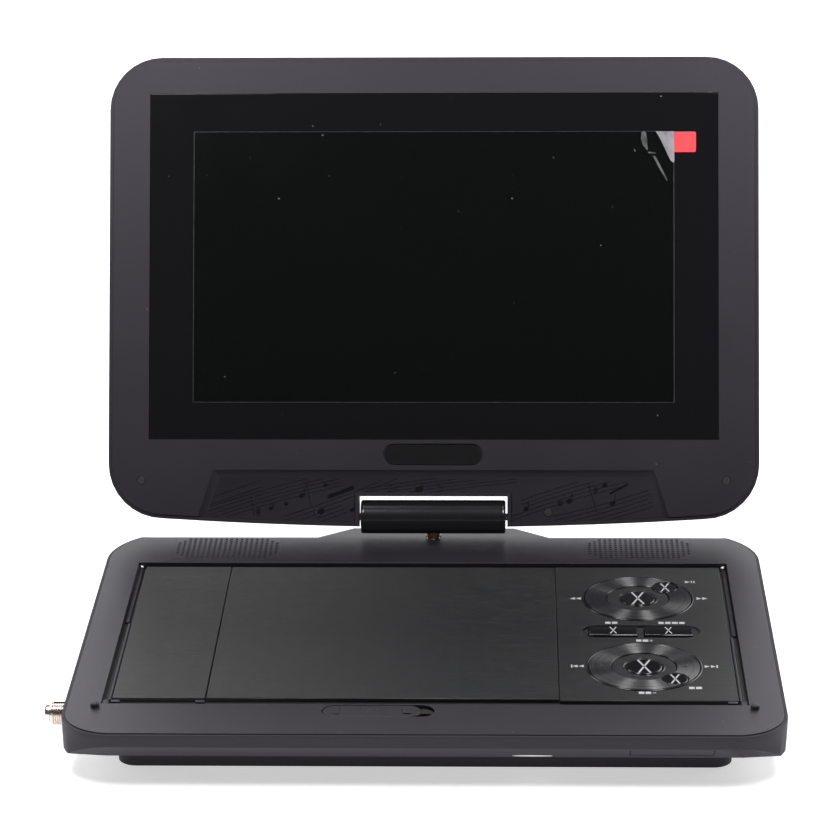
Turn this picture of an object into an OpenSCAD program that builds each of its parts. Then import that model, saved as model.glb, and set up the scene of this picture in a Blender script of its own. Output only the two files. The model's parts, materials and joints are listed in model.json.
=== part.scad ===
// Portable disc player: a flat base with a disc bay, keys and speakers, and a
// wide screen lid that tilts and turns on one centre hinge.
// Millimetres. +Z is up, the keys face the front (-Y). The origin is on the
// surface that the player stands on, under the middle of its outer box.

/* [Screen] */
// Width of the lit picture area
active_w = 196.4; // [180:0.1:240]
// Height of the lit picture area
active_h = 110.8; // [100:0.1:140]
// Black border of the lens at the left and right of the picture
lens_side = 18.15; // [8:0.05:25]
// Black border of the lens above the picture
lens_above = 15.95; // [6:0.05:25]
// Black border of the lens below the picture
lens_below = 15.35; // [6:0.05:25]
// Thickness of the screen lens
lens_t = 1; // [0.8:0.1:1.4]

/* [Lid] */
// Bezel from the lens to the side of the lid
lid_side = 16.5; // [14:0.05:30]
// Bezel from the lens to the top of the lid
lid_above = 14.85; // [10:0.05:30]
// Bezel from the hinge axis to the lens
lid_chin = 31.35; // [28:0.05:50]
// Thickness of the lid
lid_t = 14; // [13.6:0.1:18]
// Lean of the lid behind upright, as stored
lid_lean = 22; // [0:1:45]
// Radius of the lid's two top corners
lid_top_r = 21.5; // [10:0.5:30]
// Radius of the lid's two bottom corners
lid_low_r = 22.5; // [10:0.5:30]
// How far the lid's lower edge bows below its corners
lid_bow = 3.4; // [1:0.1:4]
// Shell thickness of the lid's rear cover
lid_wall = 1.5; // [1.2:0.1:1.8]

/* [Base] */
// Height from the feet to the top of the frame
base_h = 22; // [21.5:0.1:27]
// Frame from the panel opening to the front edge
front_rim = 26.7; // [24:0.1:45]
// Radius of the base's front corners
front_r = 19.5; // [12:0.5:26]
// Radius of the base's rear corners
rear_r = 30; // [14:0.5:32]
// Rounding of the base's rear top edge
rear_round = 9; // [6:0.5:9]
// Shell thickness of the bottom cover
base_wall = 1.8; // [1.4:0.1:2.2]
// Height of the feet below the tray
foot_h = 1; // [0.6:0.1:2]
// Width of the tongue at its end, behind the hinge
tongue_w = 66; // [60:1:80]
// How far the tongue stands out behind the base
tongue_out = 7; // [4:0.5:9]

/* [Disc bay] */
// Diameter of the disc that the bay takes
disc_d = 120; // [80:1:120]
// Depth of the strip of panels beyond the disc
strip_over = 6; // [5:0.1:14]
// Radius of the bay beyond the disc
bay_gap = 1.8; // [1:0.1:2]

/* [Keys] */
// Width of the control panel
control_w = 65.7; // [60:0.1:80]
// Outer radius of the two nav rings
ring_r = 20.8; // [16:0.1:22]
// Inner radius of the two nav rings
ring_hole_r = 12.4; // [9:0.1:13]
// Radius of the key in the middle of a ring
centre_key_r = 6.8; // [5:0.1:8]
// Distance between the middles of the rings
ring_pitch = 65.2; // [60:0.1:70]
// Radius of the small round keys
small_key_r = 4.9; // [3.5:0.1:5]

/* [Hinge] */
// Diameter of the hinge barrel
barrel_d = 13.8; // [12:0.1:14]
// Length of the hinge barrel
barrel_l = 59.2; // [50:0.1:64]
// Clearance between the barrel and the base
barrel_gap = 1.9; // [1.5:0.1:3]
// Diameter of the swivel post
post_d = 5.8; // [5:0.1:7]
// Diameter of the tilt shafts
shaft_d = 3; // [2.4:0.1:3]

/* [Sockets] */
// Outer diameter of the aerial connector's thread
rf_d = 9.52; // [9:0.01:10]
// How far the aerial connector stands out
rf_out = 8; // [6:0.5:12]
// Bore of the two audio sockets
audio_d = 3.6; // [3.5:0.05:3.7]
// Bore of the power socket
power_d = 5.5; // [5:0.1:6]

/* [Hidden] */
$fn = 48;
FIT = 0.3;                     // gap between pieces that move past each other
SLIP = 0.05;                   // radial clearance of a shaft in its bore
EPS = 0.01;

// Lid, measured up from the hinge axis
lens_w = active_w + 2 * lens_side;
lens_h = active_h + lens_above + lens_below;
lens_mid = lid_chin + lens_h / 2;
active_mid = lid_chin + lens_below + active_h / 2;
lid_w = lens_w + 2 * lid_side;
lid_top = lid_chin + lens_h + lid_above;
lid_low = -0.9;                // lower edge at the corners
lid_seam = 1.5;                // the bezel lies this far inside the outline
lid_lip = 0.6;                 // the rear cover's lip stops below the face
lid_edge = 3;                  // chamfer around the lid's back
bezel_t = 2.1;
notch_w = barrel_l + 1.4;
notch_top = barrel_d / 2 + 1.5;
face = lid_t / 2;              // the lid's front, from its middle plane
chin_floor = face - 1.6;       // floor of the wide recess below the screen
chin_top_w = 180;
chin_low_w = 205;
chin_s = 19;
chin_slope = 2.9;
badge_w = 40.8;
badge_h = 8.9;
badge_s = 25.3;
plug_side = 13.5;              // plugs, in from the lid's sides
plug_s = 14.7;
plug_r = 1.75;
chin_plug_x = 46.9;
chin_plug_s = 1.8;
screw_r = 0.9;

// Base, with y = 0 in the middle of the strip of panels
strip_d = disc_d + strip_over;
door_w = disc_d + 10;
front_gap = 7.6;               // channel in front of the strip
open_front = -(strip_d / 2 + front_gap);
control_over = 1.3;            // the control panel runs on past the strip
open_rear = strip_d / 2 + 1.5;
lid_setback = 1.7;
axis_back = 6.3;               // hinge axis to the base's rear edge
side_draft = 1;                // the side walls lean in by this much
side_z = 10.4;                 // lower end of the side walls
base_w = lid_w - 2.2;
y_front = open_front - front_rim;
axis_y = y_front + lid_setback + lid_top;
y_rear = axis_y + axis_back;
y_tongue = y_rear + tongue_out;
side_rim = 13.55;
open_x = base_w / 2 - side_rim;
groove = 3.1;                  // gutter at both ends of the strip
control_x1 = open_x - groove;
control_x0 = control_x1 - control_w;
door_x0 = control_x0 - door_w;
trim_x0 = -open_x + groove;
bay_x = (door_x0 + control_x0) / 2;
bay_r = disc_d / 2 + bay_gap;

// Heights in the base
top_t = 1.6;                   // frame of the top cover
plate_z = base_h - top_t;
lip_z = base_h - 0.4;          // top of the bottom cover's wall
panel_z = base_h - 1.2;
panel_t = 1.6;
deck_z = panel_z - panel_t;
deck_t = 1.9;
channel_z = deck_z - 1.2;      // floor of the channel in front of the strip
channel_y = -(strip_d / 2 + 1.9);
crease_z = base_h - 5;
under_z = 7.9;
under_in = 12;
tray_z = foot_h;
tray_t = 1.5;
tray_in = 18;
tray_side = 19.5;
tray_r = 7;
tray_y0 = y_front + tray_in;
tray_y1 = y_rear - 20;
tray_x = base_w / 2 - tray_side;
lip_t = 1.2;
skirt = 1.4;
tongue_round = 5;
tongue_root = tongue_w + 29;

// Hinge
axis_z = base_h + barrel_gap + barrel_d / 2;
barrel_r = barrel_d / 2;
barrel_wall = 1.4;
cap_t = 1.5;
post_r = post_d / 2;
shaft_r = shaft_d / 2;
core_l = 24;
core_r = barrel_r - barrel_wall - 0.1;
leaf_x0 = notch_w / 2 + 2;
leaf_low = -1.7;

// Keys
ring_x = (control_x0 + control_x1) / 2 - 0.75;
key_y = -1.85;                 // the keys sit a little in front of the middle
bar_y = key_y + 0.9;
ring_y = ring_pitch / 2;
cup_t = 1;
cup_z = panel_z - 3.4;         // top of the cup's floor
cup_wall = 1.2;
ring_top = panel_z + 0.4;
hub_z = panel_z - 0.8;         // the plate round the middle key
ring_z = cup_z + 0.8;
key_foot = panel_z - 5;        // lower end of every plunger
plunger_at = (ring_r + ring_hole_r) / 2;
plunger_r = 1.2;
rib_r = 0.7;
rib_l = 6;
bar_l = 18.5;
bar_d = 8;
bar_pocket_w = 45.3;
bar_pocket_d = 11.5;
bar_at = 10.6;
upper_small = [11.1, 11.1];
lower_small = [11.1, -11.1];
mat_z = key_foot - 2.3;
mat_t = 1.1;
board_t = 1.2;
deck_hole_in = 4;

// Door
door_t = 1.4;
door_z = panel_z - door_t;
door_y1 = strip_d / 2 - 0.2;
door_axis = [strip_d / 2 - 1.7, deck_z - 0.95];
door_pin_r = 0.5;
ear_r = 1;                     // rounding of the deck round the door's pins
ear_w = 1.7;

// Disc drive, from the middle of the bay
bay_floor = deck_z - deck_t - 2.3;     // upper face of the bay's floor
bay_t = 1.2;
chassis_z = tray_z + tray_t + 1.5;
chassis_t = 1.2;
rod_x = 20;
rod_r = 1.5;
rod_z = chassis_z + chassis_t + 3;
rod_y0 = -(disc_d / 2 + 4);
rod_y1 = 8;
sled_y = -22;
sled_l = 14;
screw_x = 27;
motor_r = 11;

// Latch
slot_w = 41;
slot_d = 10;
slot_x = bay_x - 1;
slot_y = open_front - 0.6 - slot_d / 2;
slider_w = 35.6;

// Speakers, jacks, bumpers and screws
speaker_x = base_w / 2 - 48;
speaker_y = (open_rear + y_rear) / 2 - 1.75;
grille_w = 43;
grille_d = 23;
hole_pitch = 2.1;
hole_r = 0.6;
rf_y = y_front + 33.5;
rf_z = base_h - 7;
jack_z = base_h - 8.5;
jack_in = 12;
jack_side = base_w / 2 - side_draft - base_wall - 0.1;
jack_z0 = side_z + base_wall / 2 + 0.2;
jack_y = [-20, 0];
power_y = 22;
usb_y = -44;
switch_y = 44;
switch_travel = 3;
flap_w = 30;
flap_l = 9;
flap_t = 1.2;
flap_x = ring_x + 8;
bumper_at = [base_w / 2 - 11.6, open_front - 2.8];
bumper_r = 1.5;
bumper_h = 1.7;
foot_r = 5;
screw_x_base = base_w / 2 - 7.5;
screw_ys = [y_front + 17.3, open_rear + 6];
screw_z = under_z + 2.1;       // underside of the screw heads
boss_z = deck_z - 3.7;         // where the bosses of the two covers meet
boss_r = 3.5;
post_boss_r = 2.9;

// The outer box, which sets the origin
lid_back = axis_y + (lid_top - lid_edge) * sin(lid_lean) + face * cos(lid_lean);
x_mid = ((lid_w - base_w) / 2 - rf_out) / 2;
y_mid = (y_front + lid_back) / 2;

// battery box
battery_l = 96;
battery_x0 = -tray_x + base_wall + 2.4;
battery_x1 = bay_x - bay_r - 2.6;

// protective film and its pull tab
film_t = 0.15;
tab_w = 9;
tab_h = 8.4;

// ---- shared shapes ----

// Puts the shared working point at the origin of the part
module place() { translate([-x_mid, -y_mid, 0]) children(); }

// A flat outline raised from z0 to z1
module slab(z0, z1) { translate([0, 0, z0]) linear_extrude(z1 - z0) children(); }

// A (y, z) outline drawn out along X
module along_x(x0, x1) { translate([x0, 0, 0]) rotate([90, 0, 90]) linear_extrude(x1 - x0) children(); }

// A box from its two opposite corners
module block(a, b) { translate(a) cube(b - a); }

// A round bar along X
module rod_x_dir(x0, x1, r) { translate([x0, 0, 0]) rotate([0, 90, 0]) cylinder(h = x1 - x0, r = r); }

// A round bar along Y
module rod_y_dir(y0, y1, r) { translate([0, y0, 0]) rotate([-90, 0, 0]) cylinder(h = y1 - y0, r = r); }

// Rectangle with one radius at its low edge and one at its high edge
module rounded(x0, x1, y0, y1, low_r, high_r) {
  translate([x0, y0 + low_r]) square([x1 - x0, y1 - y0 - low_r - high_r]);
  translate([x0 + low_r, y0]) square([x1 - x0 - 2 * low_r, low_r + EPS]);
  translate([x0 + high_r, y1 - high_r - EPS]) square([x1 - x0 - 2 * high_r, high_r + EPS]);
  for (x = [x0 + low_r, x1 - low_r]) translate([x, y0 + low_r]) circle(low_r);
  for (x = [x0 + high_r, x1 - high_r]) translate([x, y1 - high_r]) circle(high_r);
}

// Rectangle with round ends
module stadium(w, d) {
  square([w - d, d], center = true);
  for (x = [-1, 1]) translate([x * (w - d) / 2, 0]) circle(d / 2);
}

// ---- the base's outer shape, moved in by i ----

// Edge of the tongue from its end to its root: a convex arc, then a concave one
function tongue_edge(i, n = 8) =
  let (dx = (tongue_root - tongue_w) / 4, dy = tongue_out / 2)
  let (r = (dx * dx + dy * dy) / (2 * dy), a = asin(dx / r))
  concat(
    [for (k = [0:n]) [tongue_w / 2 + (r - i) * sin(a * k / n), y_tongue - r + (r - i) * cos(a * k / n)]],
    [for (k = [n - 1:-1:0]) [tongue_root / 2 - (r + i) * sin(a * k / n),
        y_rear + r - (r + i) * cos(a * k / n)]]);

module tongue_plan(i) {
  right = tongue_edge(i);
  left = [for (k = [len(right) - 1:-1:0]) [-right[k][0], right[k][1]]];
  polygon(concat([[-tongue_root / 2, y_rear - 20]], left, right, [[tongue_root / 2, y_rear - 20]]));
}

module base_plan(i) {
  rounded(-base_w / 2 + i, base_w / 2 - i, y_front + i, y_rear - i, front_r - i, rear_r - i);
  tongue_plan(i);
}

// Side view of the base with its rear edge at y = rear, rounded by r
module base_side(i, rear, r) {
  polygon(concat([[y_front + i, base_h], [y_front + i, crease_z + i / 2],
    [y_front + under_in + i / 2, under_z + i], [rear - i, under_z + i], [rear - i, base_h - r],
    [rear - r, base_h - i]], i > 0 ? [[rear - r, base_h]] : []));
  translate([rear - r, base_h - r]) circle(r - i);
}

module base_sides(i) {
  along_x(-base_w / 2 - 1, base_w / 2 + 1) base_side(i, y_rear, rear_round);
  hull() {
    along_x(-tongue_root / 2, tongue_root / 2) base_side(i, y_rear, rear_round);
    along_x(-tongue_w / 2, tongue_w / 2) base_side(i, y_tongue, tongue_round);
  }
}

// Front view of the base: leaning side walls, and an underside that rises towards them
module base_front(i) {
  half = base_w / 2 - i;
  polygon([[-half, base_h + 2], [-half, lip_z - 0.6], [-half + side_draft, side_z + i / 2],
    [-tray_x - 3, under_z + i], [tray_x + 3, under_z + i], [half - side_draft, side_z + i / 2],
    [half, lip_z - 0.6], [half, base_h + 2]]);
}

module base_body(i, top) {
  intersection() {
    slab(under_z + i, top) base_plan(i);
    base_sides(i);
    translate([0, y_tongue + 1, 0]) rotate([90, 0, 0]) linear_extrude(y_tongue - y_front + 2) base_front(i);
  }
}

module tray_plan(i) { rounded(-tray_x + i, tray_x - i, tray_y0 + i, tray_y1 - i, tray_r - i, tray_r - i); }

// Places a piece on the slanted face below the front: its own y runs up the face, z points out
module on_slant() {
  rise = crease_z - under_z;
  translate([flap_x, y_front + under_in - 2.4 * under_in / rise, under_z + 2.4])
    rotate([180 - atan(rise / under_in), 0, 0]) children();
}

// ---- base covers ----

module base_top_cover() {
  color("#48464c") difference() {
    union() {
      intersection() {
        slab(plate_z, base_h + 1) base_plan(lip_t + 0.1);
        base_sides(0);
      }
      block([-open_x - skirt, open_front - skirt, deck_z - deck_t],
          [open_x + skirt, open_rear + skirt, plate_z + EPS]);
      for (x = [-1, 1], y = screw_ys) translate([x * screw_x_base, y, 0]) slab(boss_z, plate_z + EPS)
          circle(post_boss_r);
    }
    block([-open_x, open_front, deck_z], [open_x, open_rear, base_h + 1]);
    block([-open_x, open_front, channel_z], [open_x, channel_y, base_h + 1]);
    translate([bay_x, 0, 0]) slab(0, base_h) circle(bay_r);
    // relief for the door's rear edge, and its pin holes
    block([door_x0 + ear_w, door_axis[0] - 2.8, 0], [control_x0 - ear_w, open_rear, base_h]);
    difference() {
      block([door_x0, door_axis[0], 0], [control_x0, open_rear, base_h]);
      translate([0, door_axis[0], door_axis[1]]) rod_x_dir(door_x0 - 1, control_x0 + 1, ear_r);
    }
    translate([0, door_axis[0], door_axis[1]]) rod_x_dir(door_x0, control_x0, door_pin_r + SLIP);
    // the keys' cups hang through the deck
    translate([0, key_y, 0]) block([control_x0 + deck_hole_in, -ring_y - ring_r - 4, 0],
      [control_x1 - deck_hole_in + 1, ring_y + ring_r + 4, deck_z + EPS]);
    // latch slot, and the room its slider needs below the frame
    translate([slot_x, slot_y, 0]) slab(plate_z - 1, base_h + 1) stadium(slot_w, slot_d);
    block([slot_x - slot_w / 2 - 4, slot_y - slot_d / 2 - 2, 0],
        [slot_x + slot_w / 2 + 4, open_front + EPS, plate_z]);
    // speaker windows, swivel hole and screw holes
    for (x = [-1, 1]) block([x * speaker_x - grille_w / 2, speaker_y - grille_d / 2, plate_z - 1],
        [x * speaker_x + grille_w / 2, speaker_y + grille_d / 2, base_h + 1]);
    translate([0, axis_y, plate_z - 1]) cylinder(h = 5, r = post_r + 0.1);
    for (x = [-1, 1], y = screw_ys) translate([x * screw_x_base, y, 0]) slab(boss_z - 1, plate_z - 0.6)
        circle(1.15);
    for (x = [-1, 1]) translate([x * bumper_at[0], bumper_at[1], base_h - 1]) cylinder(h = 2, r = bumper_r);
  }
}

module base_bottom_cover() {
  color("#3f3d43") difference() {
    union() {
      difference() {
        union() {
          base_body(0, lip_z);
          slab(tray_z, under_z + EPS) tray_plan(0);
        }
        base_body(base_wall, base_h + 1);
        slab(tray_z + tray_t, under_z + base_wall + EPS) tray_plan(base_wall);
        slab(plate_z, base_h + 1) base_plan(lip_t);
      }
      for (x = [-1, 1], y = screw_ys) translate([x * screw_x_base, y, 0]) slab(screw_z + 1.2, boss_z)
          circle(boss_r);
    }
    for (x = [-1, 1], y = screw_ys) translate([x * screw_x_base, y, 0]) {
      slab(under_z - 1, screw_z + 1.5) circle(2.6);
      slab(under_z - 1, boss_z + 1) circle(1.3);
    }
    // aerial connector, sockets, switch and flap
    translate([0, rf_y, rf_z]) rod_x_dir(-base_w, -base_w / 2 + 10, rf_d / 2 + 0.1);
    for (y = jack_y) translate([0, y, jack_z]) rod_x_dir(base_w / 2 - jack_in, base_w, 2.9);
    translate([0, power_y, jack_z]) rod_x_dir(base_w / 2 - jack_in, base_w, 3.4);
    block([base_w / 2 - jack_in - 1, usb_y - 6.9, jack_z - 3.3], [base_w, usb_y + 6.9, jack_z + 3.3]);
    block([base_w / 2 - 10, switch_y - 2.2, jack_z - 1.4],
        [base_w, switch_y + switch_travel + 2.2, jack_z + 1.4]);
    on_slant() block([-flap_w / 2 - 0.2, -0.2, -4], [flap_w / 2 + 0.2, flap_l + 0.2, 2]);
    // battery hatch
    block([battery_x0 - 1, -battery_l / 2 - 1, tray_z - 1],
        [battery_x1 + 1, battery_l / 2 + 1, tray_z + tray_t + 1]);
  }
}

module battery_cover() {
  color("#3f3d43") {
    block([battery_x0 - 0.8, -battery_l / 2 - 0.8, tray_z],
        [battery_x1 + 0.8, battery_l / 2 + 0.8, tray_z + tray_t]);
  }
}

module battery_pack() {
  color("#2a4f8c") block([battery_x0, -battery_l / 2, tray_z + tray_t + 0.2],
      [battery_x1, battery_l / 2, under_z + 5]);
}

module rubber_feet() {
  color("#1c1c1e") for (x = [-1, 1], y = [tray_y0 + 11, tray_y1 - 11])
    translate([x * (tray_x - 11), y, 0]) cylinder(h = foot_h, r = foot_r);
}

module base_screws() {
  color("#8d8f94") for (x = [-1, 1], y = screw_ys) translate([x * screw_x_base, y, 0]) {
    difference() {
      union() {
        slab(screw_z, screw_z + 1.5) circle(2.4);
        slab(screw_z + 1.4, plate_z - 0.8) circle(1.1);
      }
      for (a = [0, 90]) rotate(a) block([-1.5, -0.3, screw_z - 1], [1.5, 0.3, screw_z + 0.7]);
    }
  }
}

module base_bumpers() {
  color("#26252a") for (x = [-1, 1]) translate([x * bumper_at[0], bumper_at[1], base_h - 1])
      cylinder(h = 1 + bumper_h, r = bumper_r - 0.02);
}

// ---- panels and keys ----

module left_trim_panel() {
  color("#57565a") block([trim_x0, -strip_d / 2, deck_z], [door_x0 - 0.15, strip_d / 2, panel_z]);
}

// Positions of the two ring groups: [sign, small key offset]
upper = [1, upper_small];
lower = [-1, lower_small];
function ring_at(g) = [ring_x, key_y + g[0] * ring_y, 0];

module control_panel() {
  color("#57565a") difference() {
    union() {
      block([control_x0 + 0.15, -strip_d / 2 - control_over, deck_z], [control_x1, strip_d / 2, panel_z]);
      for (g = [upper, lower]) translate(ring_at(g)) {
        slab(cup_z - cup_t, panel_z) circle(ring_r + FIT + cup_wall);
        slab(cup_z - cup_t, hub_z) circle(ring_hole_r - FIT);
      }
    }
    for (g = [upper, lower]) translate(ring_at(g)) {
      slab(cup_z, base_h) difference() {
        circle(ring_r + FIT);
        circle(ring_hole_r - FIT);
      }
      slab(0, base_h) circle(centre_key_r + 0.25);
      slab(0, cup_z + 1) translate(g[1]) circle(plunger_r + 0.5);
      slab(cup_z, base_h) translate(g[1]) circle(small_key_r + 0.35);
      for (a = [0:90:270]) rotate(a) translate([plunger_at, 0, 0]) slab(0, cup_z + 1)
          circle(plunger_r + 0.4);
    }
    translate([ring_x, bar_y, 0]) {
      slab(panel_z - 1, base_h) stadium(bar_pocket_w, bar_pocket_d);
      for (x = [-1, 1]) translate([x * bar_at, 0, 0]) slab(0, base_h)
          square([bar_l + 0.5, bar_d + 0.5], center = true);
    }
  }
}

module nav_ring(g) {
  translate(ring_at(g)) difference() {
    union() {
      slab(ring_z, ring_top) difference() {
        circle(ring_r);
        circle(ring_hole_r);
      }
      for (a = [0:90:270]) rotate(a) translate([plunger_at, 0, 0]) slab(key_foot, ring_z + EPS)
          circle(plunger_r);
      // rounded ribs that the ring rocks on
      for (s = [-1, 1]) translate([0, s * plunger_at, ring_z]) rod_y_dir(-rib_l / 2, rib_l / 2, rib_r);
    }
    slab(0, base_h) translate(g[1]) circle(small_key_r + 0.35);
  }
}
module nav_ring_upper() { color("#2b2a2e") nav_ring(upper); }
module nav_ring_lower() { color("#2b2a2e") nav_ring(lower); }

module centre_key(g) {
  translate(ring_at(g)) {
    slab(cup_z, panel_z + 0.3) circle(centre_key_r);
    slab(key_foot, cup_z + EPS) circle(2.5);
  }
}
module centre_key_upper() { color("#2b2a2e") centre_key(upper); }
module centre_key_lower() { color("#2b2a2e") centre_key(lower); }

module small_key(g) {
  translate(ring_at(g)) translate(g[1]) {
    slab(cup_z + 0.8, panel_z + 0.2) circle(small_key_r);
    slab(key_foot, cup_z + 0.8 + EPS) circle(plunger_r);
  }
}
module small_key_upper() { color("#2b2a2e") small_key(upper); }
module small_key_lower() { color("#2b2a2e") small_key(lower); }

module bar_key(side) {
  translate([ring_x + side * bar_at, bar_y, 0]) {
    slab(panel_z - panel_t, panel_z + 0.4) square([bar_l, bar_d], center = true);
    slab(key_foot, deck_z + EPS) square([8, 4], center = true);
  }
}
module bar_key_left() { color("#2b2a2e") bar_key(-1); }
module bar_key_right() { color("#2b2a2e") bar_key(1); }

module key_mat() {
  color("#b9b9b4") {
    translate([0, key_y, 0])
      block([control_x0 + 7, -ring_y - ring_r, mat_z], [control_x1 - 5, ring_y + ring_r, mat_z + mat_t]);
    for (g = [upper, lower]) translate(ring_at(g)) {
      for (a = [0:90:270]) rotate(a) translate([plunger_at, 0, 0])
          slab(mat_z + mat_t - EPS, mat_z + mat_t + 0.4) circle(2);
      slab(mat_z + mat_t - EPS, mat_z + mat_t + 0.4) circle(3.4);
    }
  }
}

module key_board() {
  color("#2f6b45") translate([0, key_y, 0])
    block([control_x0 + 5.6, -ring_y - ring_r - 3, mat_z - board_t],
        [control_x1 - 4.6, ring_y + ring_r + 3, mat_z]);
}

module main_board() {
  z = chassis_z + 1;
  color("#2f6b45") {
    block([control_x0 + 3, tray_y0 + 6, z], [tray_x - 4, tray_y1 - 6, z + board_t]);
    for (c = [[16, -20, 14, 2], [38, -24, 10, 1.6], [20, 18, 20, 1.8], [42, 30, 12, 2.2]])
      translate([control_x0 + c[0], c[1], z + board_t - EPS]) translate([-c[2] / 2, -c[2] / 2, 0])
          cube([c[2], c[2], c[3]]);
  }
}

// ---- disc bay ----

module disc_door() {
  color("#57565a") {
    difference() {
      union() {
        block([door_x0 + 0.15, -strip_d / 2, door_z], [control_x0 - 0.15, door_y1, panel_z]);
        for (x = [door_x0 + 2.1, control_x0 - 2.1 - 4])
          block([x, door_axis[0] - 1.2, door_axis[1] - 1.2], [x + 4, door_axis[0] + 1.2, door_z + EPS]);
        translate([0, door_axis[0], door_axis[1]]) {
          rod_x_dir(door_x0 + 0.5, door_x0 + 3, door_pin_r);
          rod_x_dir(control_x0 - 3, control_x0 - 0.5, door_pin_r);
        }
      }
      // flat that lets the disc's hub clear the door
      translate([bay_x, 0, door_z - EPS]) cylinder(h = 0.4, r = 12);
    }
  }
}

module disc_well() {
  color("#323136") translate([bay_x, 0, 0]) difference() {
    slab(bay_floor - bay_t, deck_z - deck_t) circle(bay_r + 1.2);
    slab(bay_floor, base_h) circle(bay_r);
    slab(0, base_h) circle(16);
    block([-13, -disc_d / 2 + 1, 0], [13, -10, base_h]);
  }
}

module drive_chassis() {
  color("#9a9ca0") translate([bay_x, 0, 0]) {
    difference() {
      block([-40, rod_y0 - 4, chassis_z], [40, 30, chassis_z + chassis_t]);
      translate([0, 0, chassis_z - 1]) cylinder(h = 4, r = 3);
    }
    for (x = [-rod_x, rod_x], y = [rod_y0, rod_y1]) difference() {
      block([x - 2.5, y - 1.5, chassis_z + chassis_t - EPS], [x + 2.5, y + 1.5, rod_z + 2.4]);
      translate([x, 0, rod_z]) rod_y_dir(y - 3, y + 3, rod_r + SLIP);
    }
  }
}

module drive_dampers() {
  color("#6b4f63") for (x = [-34, 34], y = [rod_y0 + 4, 24])
    translate([bay_x + x, y, tray_z + tray_t]) cylinder(h = chassis_z - tray_z - tray_t, r = 4);
}

module spindle_motor() {
  color("#b9babd") translate([bay_x, 0, 0]) difference() {
    slab(chassis_z + chassis_t, bay_floor - 1.6) circle(motor_r);
    slab(chassis_z + chassis_t + 1, base_h) circle(1.05);
  }
}

module spindle_hub() {
  color("#232226") translate([bay_x, 0, 0]) {
    slab(bay_floor - 1.2, bay_floor + 1.2) circle(13);
    slab(bay_floor + 1.1, bay_floor + 3) circle(7.4);
    slab(chassis_z + chassis_t + 2, bay_floor - 1.1) circle(1);
  }
}

module guide_rods() {
  color("#c9cace") for (x = [-rod_x, rod_x]) translate([bay_x + x, 0, rod_z])
      rod_y_dir(rod_y0 - 1.5, rod_y1 + 1.5, rod_r);
}

module pickup_sled() {
  color("#3a3d46") translate([bay_x, sled_y, 0]) difference() {
    union() {
      block([-rod_x - 3, -sled_l / 2, rod_z - 2.4], [rod_x + 3, sled_l / 2, rod_z + 2.4]);
      block([rod_x + 2.9, -3, rod_z - 1.2], [screw_x - 1.9, 3, rod_z + 1.2]);
    }
    for (x = [-rod_x, rod_x]) translate([x, 0, rod_z]) rod_y_dir(-sled_l, sled_l, rod_r + SLIP);
  }
}

module pickup_lens() {
  color("#7fa6c8") translate([bay_x, sled_y, 0]) {
    slab(rod_z + 2.4, rod_z + 3.6) circle(5);
    slab(rod_z + 3.5, rod_z + 4.4) circle(2.3);
  }
}

module lead_screw() {
  color("#c9cace") translate([bay_x + screw_x, 0, rod_z]) rod_y_dir(rod_y0, rod_y1 - 8.4, 1.5);
}

module sled_motor() {
  color("#b9babd") translate([bay_x + screw_x, 0, rod_z]) rod_y_dir(rod_y1 - 8, rod_y1 + 4, 2.9);
}

// ---- latch, switch and flap ----

module open_slider() {
  x0 = slot_x - slot_w / 2 + 0.4;
  color("#3b3a3f") {
    translate([x0 + slider_w / 2, slot_y, 0]) slab(plate_z - 0.2, base_h - 0.1)
        stadium(slider_w, slot_d - 0.6);
    block([x0 - 2, slot_y - slot_d / 2 - 1, plate_z - 1.5],
        [x0 + slider_w, slot_y + slot_d / 2 + 0.4, plate_z - 0.15]);
  }
}

module latch_spring() {
  y = slot_y - slot_d / 2 - 3.4;
  color("#c9cace") difference() {
    block([slot_x - 16, y - 0.6, plate_z - 2.4], [slot_x + 16, y + 0.6, plate_z]);
    for (x = [-13:2.6:13]) block([slot_x + x, y - 1, plate_z - 2.6],
        [slot_x + x + 1.2, y + 1, plate_z - 0.5]);
  }
}

module power_switch() {
  color("#1f1f21") {
    block([jack_side - 1, switch_y - 1.7, jack_z - 1.1], [base_w / 2 + 0.4, switch_y + 1.7, jack_z + 1.1]);
    block([jack_side - 2, switch_y - 3.5, jack_z0], [jack_side, switch_y + 3.5, jack_z + 2.2]);
  }
}

module card_flap() {
  color("#3f3d43") on_slant() {
    block([-flap_w / 2, flap_t / 2, -flap_t], [flap_w / 2, flap_l, 0]);
    translate([0, flap_t / 2, -flap_t / 2]) rod_x_dir(-flap_w / 2, flap_w / 2, flap_t / 2);
  }
}

// ---- speakers and sockets ----

module speaker_grilles() {
  nx = 20;
  ny = 10;
  color("#48464c") for (s = [-1, 1]) translate([s * speaker_x, speaker_y, 0])
    slab(plate_z, base_h) difference() {
      square([grille_w, grille_d], center = true);
      for (i = [0:nx - 1], j = [0:ny - 1]) {
        edge = min(i, nx - 1 - i) + min(j, ny - 1 - j);
        if (edge > 1) translate([(i - (nx - 1) / 2) * hole_pitch, (j - (ny - 1) / 2) * hole_pitch])
            circle(hole_r, $fn = 6);
      }
    }
}

module speakers() {
  color("#2a2a2d") for (s = [-1, 1]) translate([s * speaker_x, speaker_y, 0]) difference() {
    union() {
      slab(plate_z - 2.4, plate_z - 0.2) square([40, 19], center = true);
      slab(plate_z - 8, plate_z - 2.3) circle(8);
    }
    slab(plate_z - 1.6, plate_z) scale([1.9, 1]) circle(8);
  }
}

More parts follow.
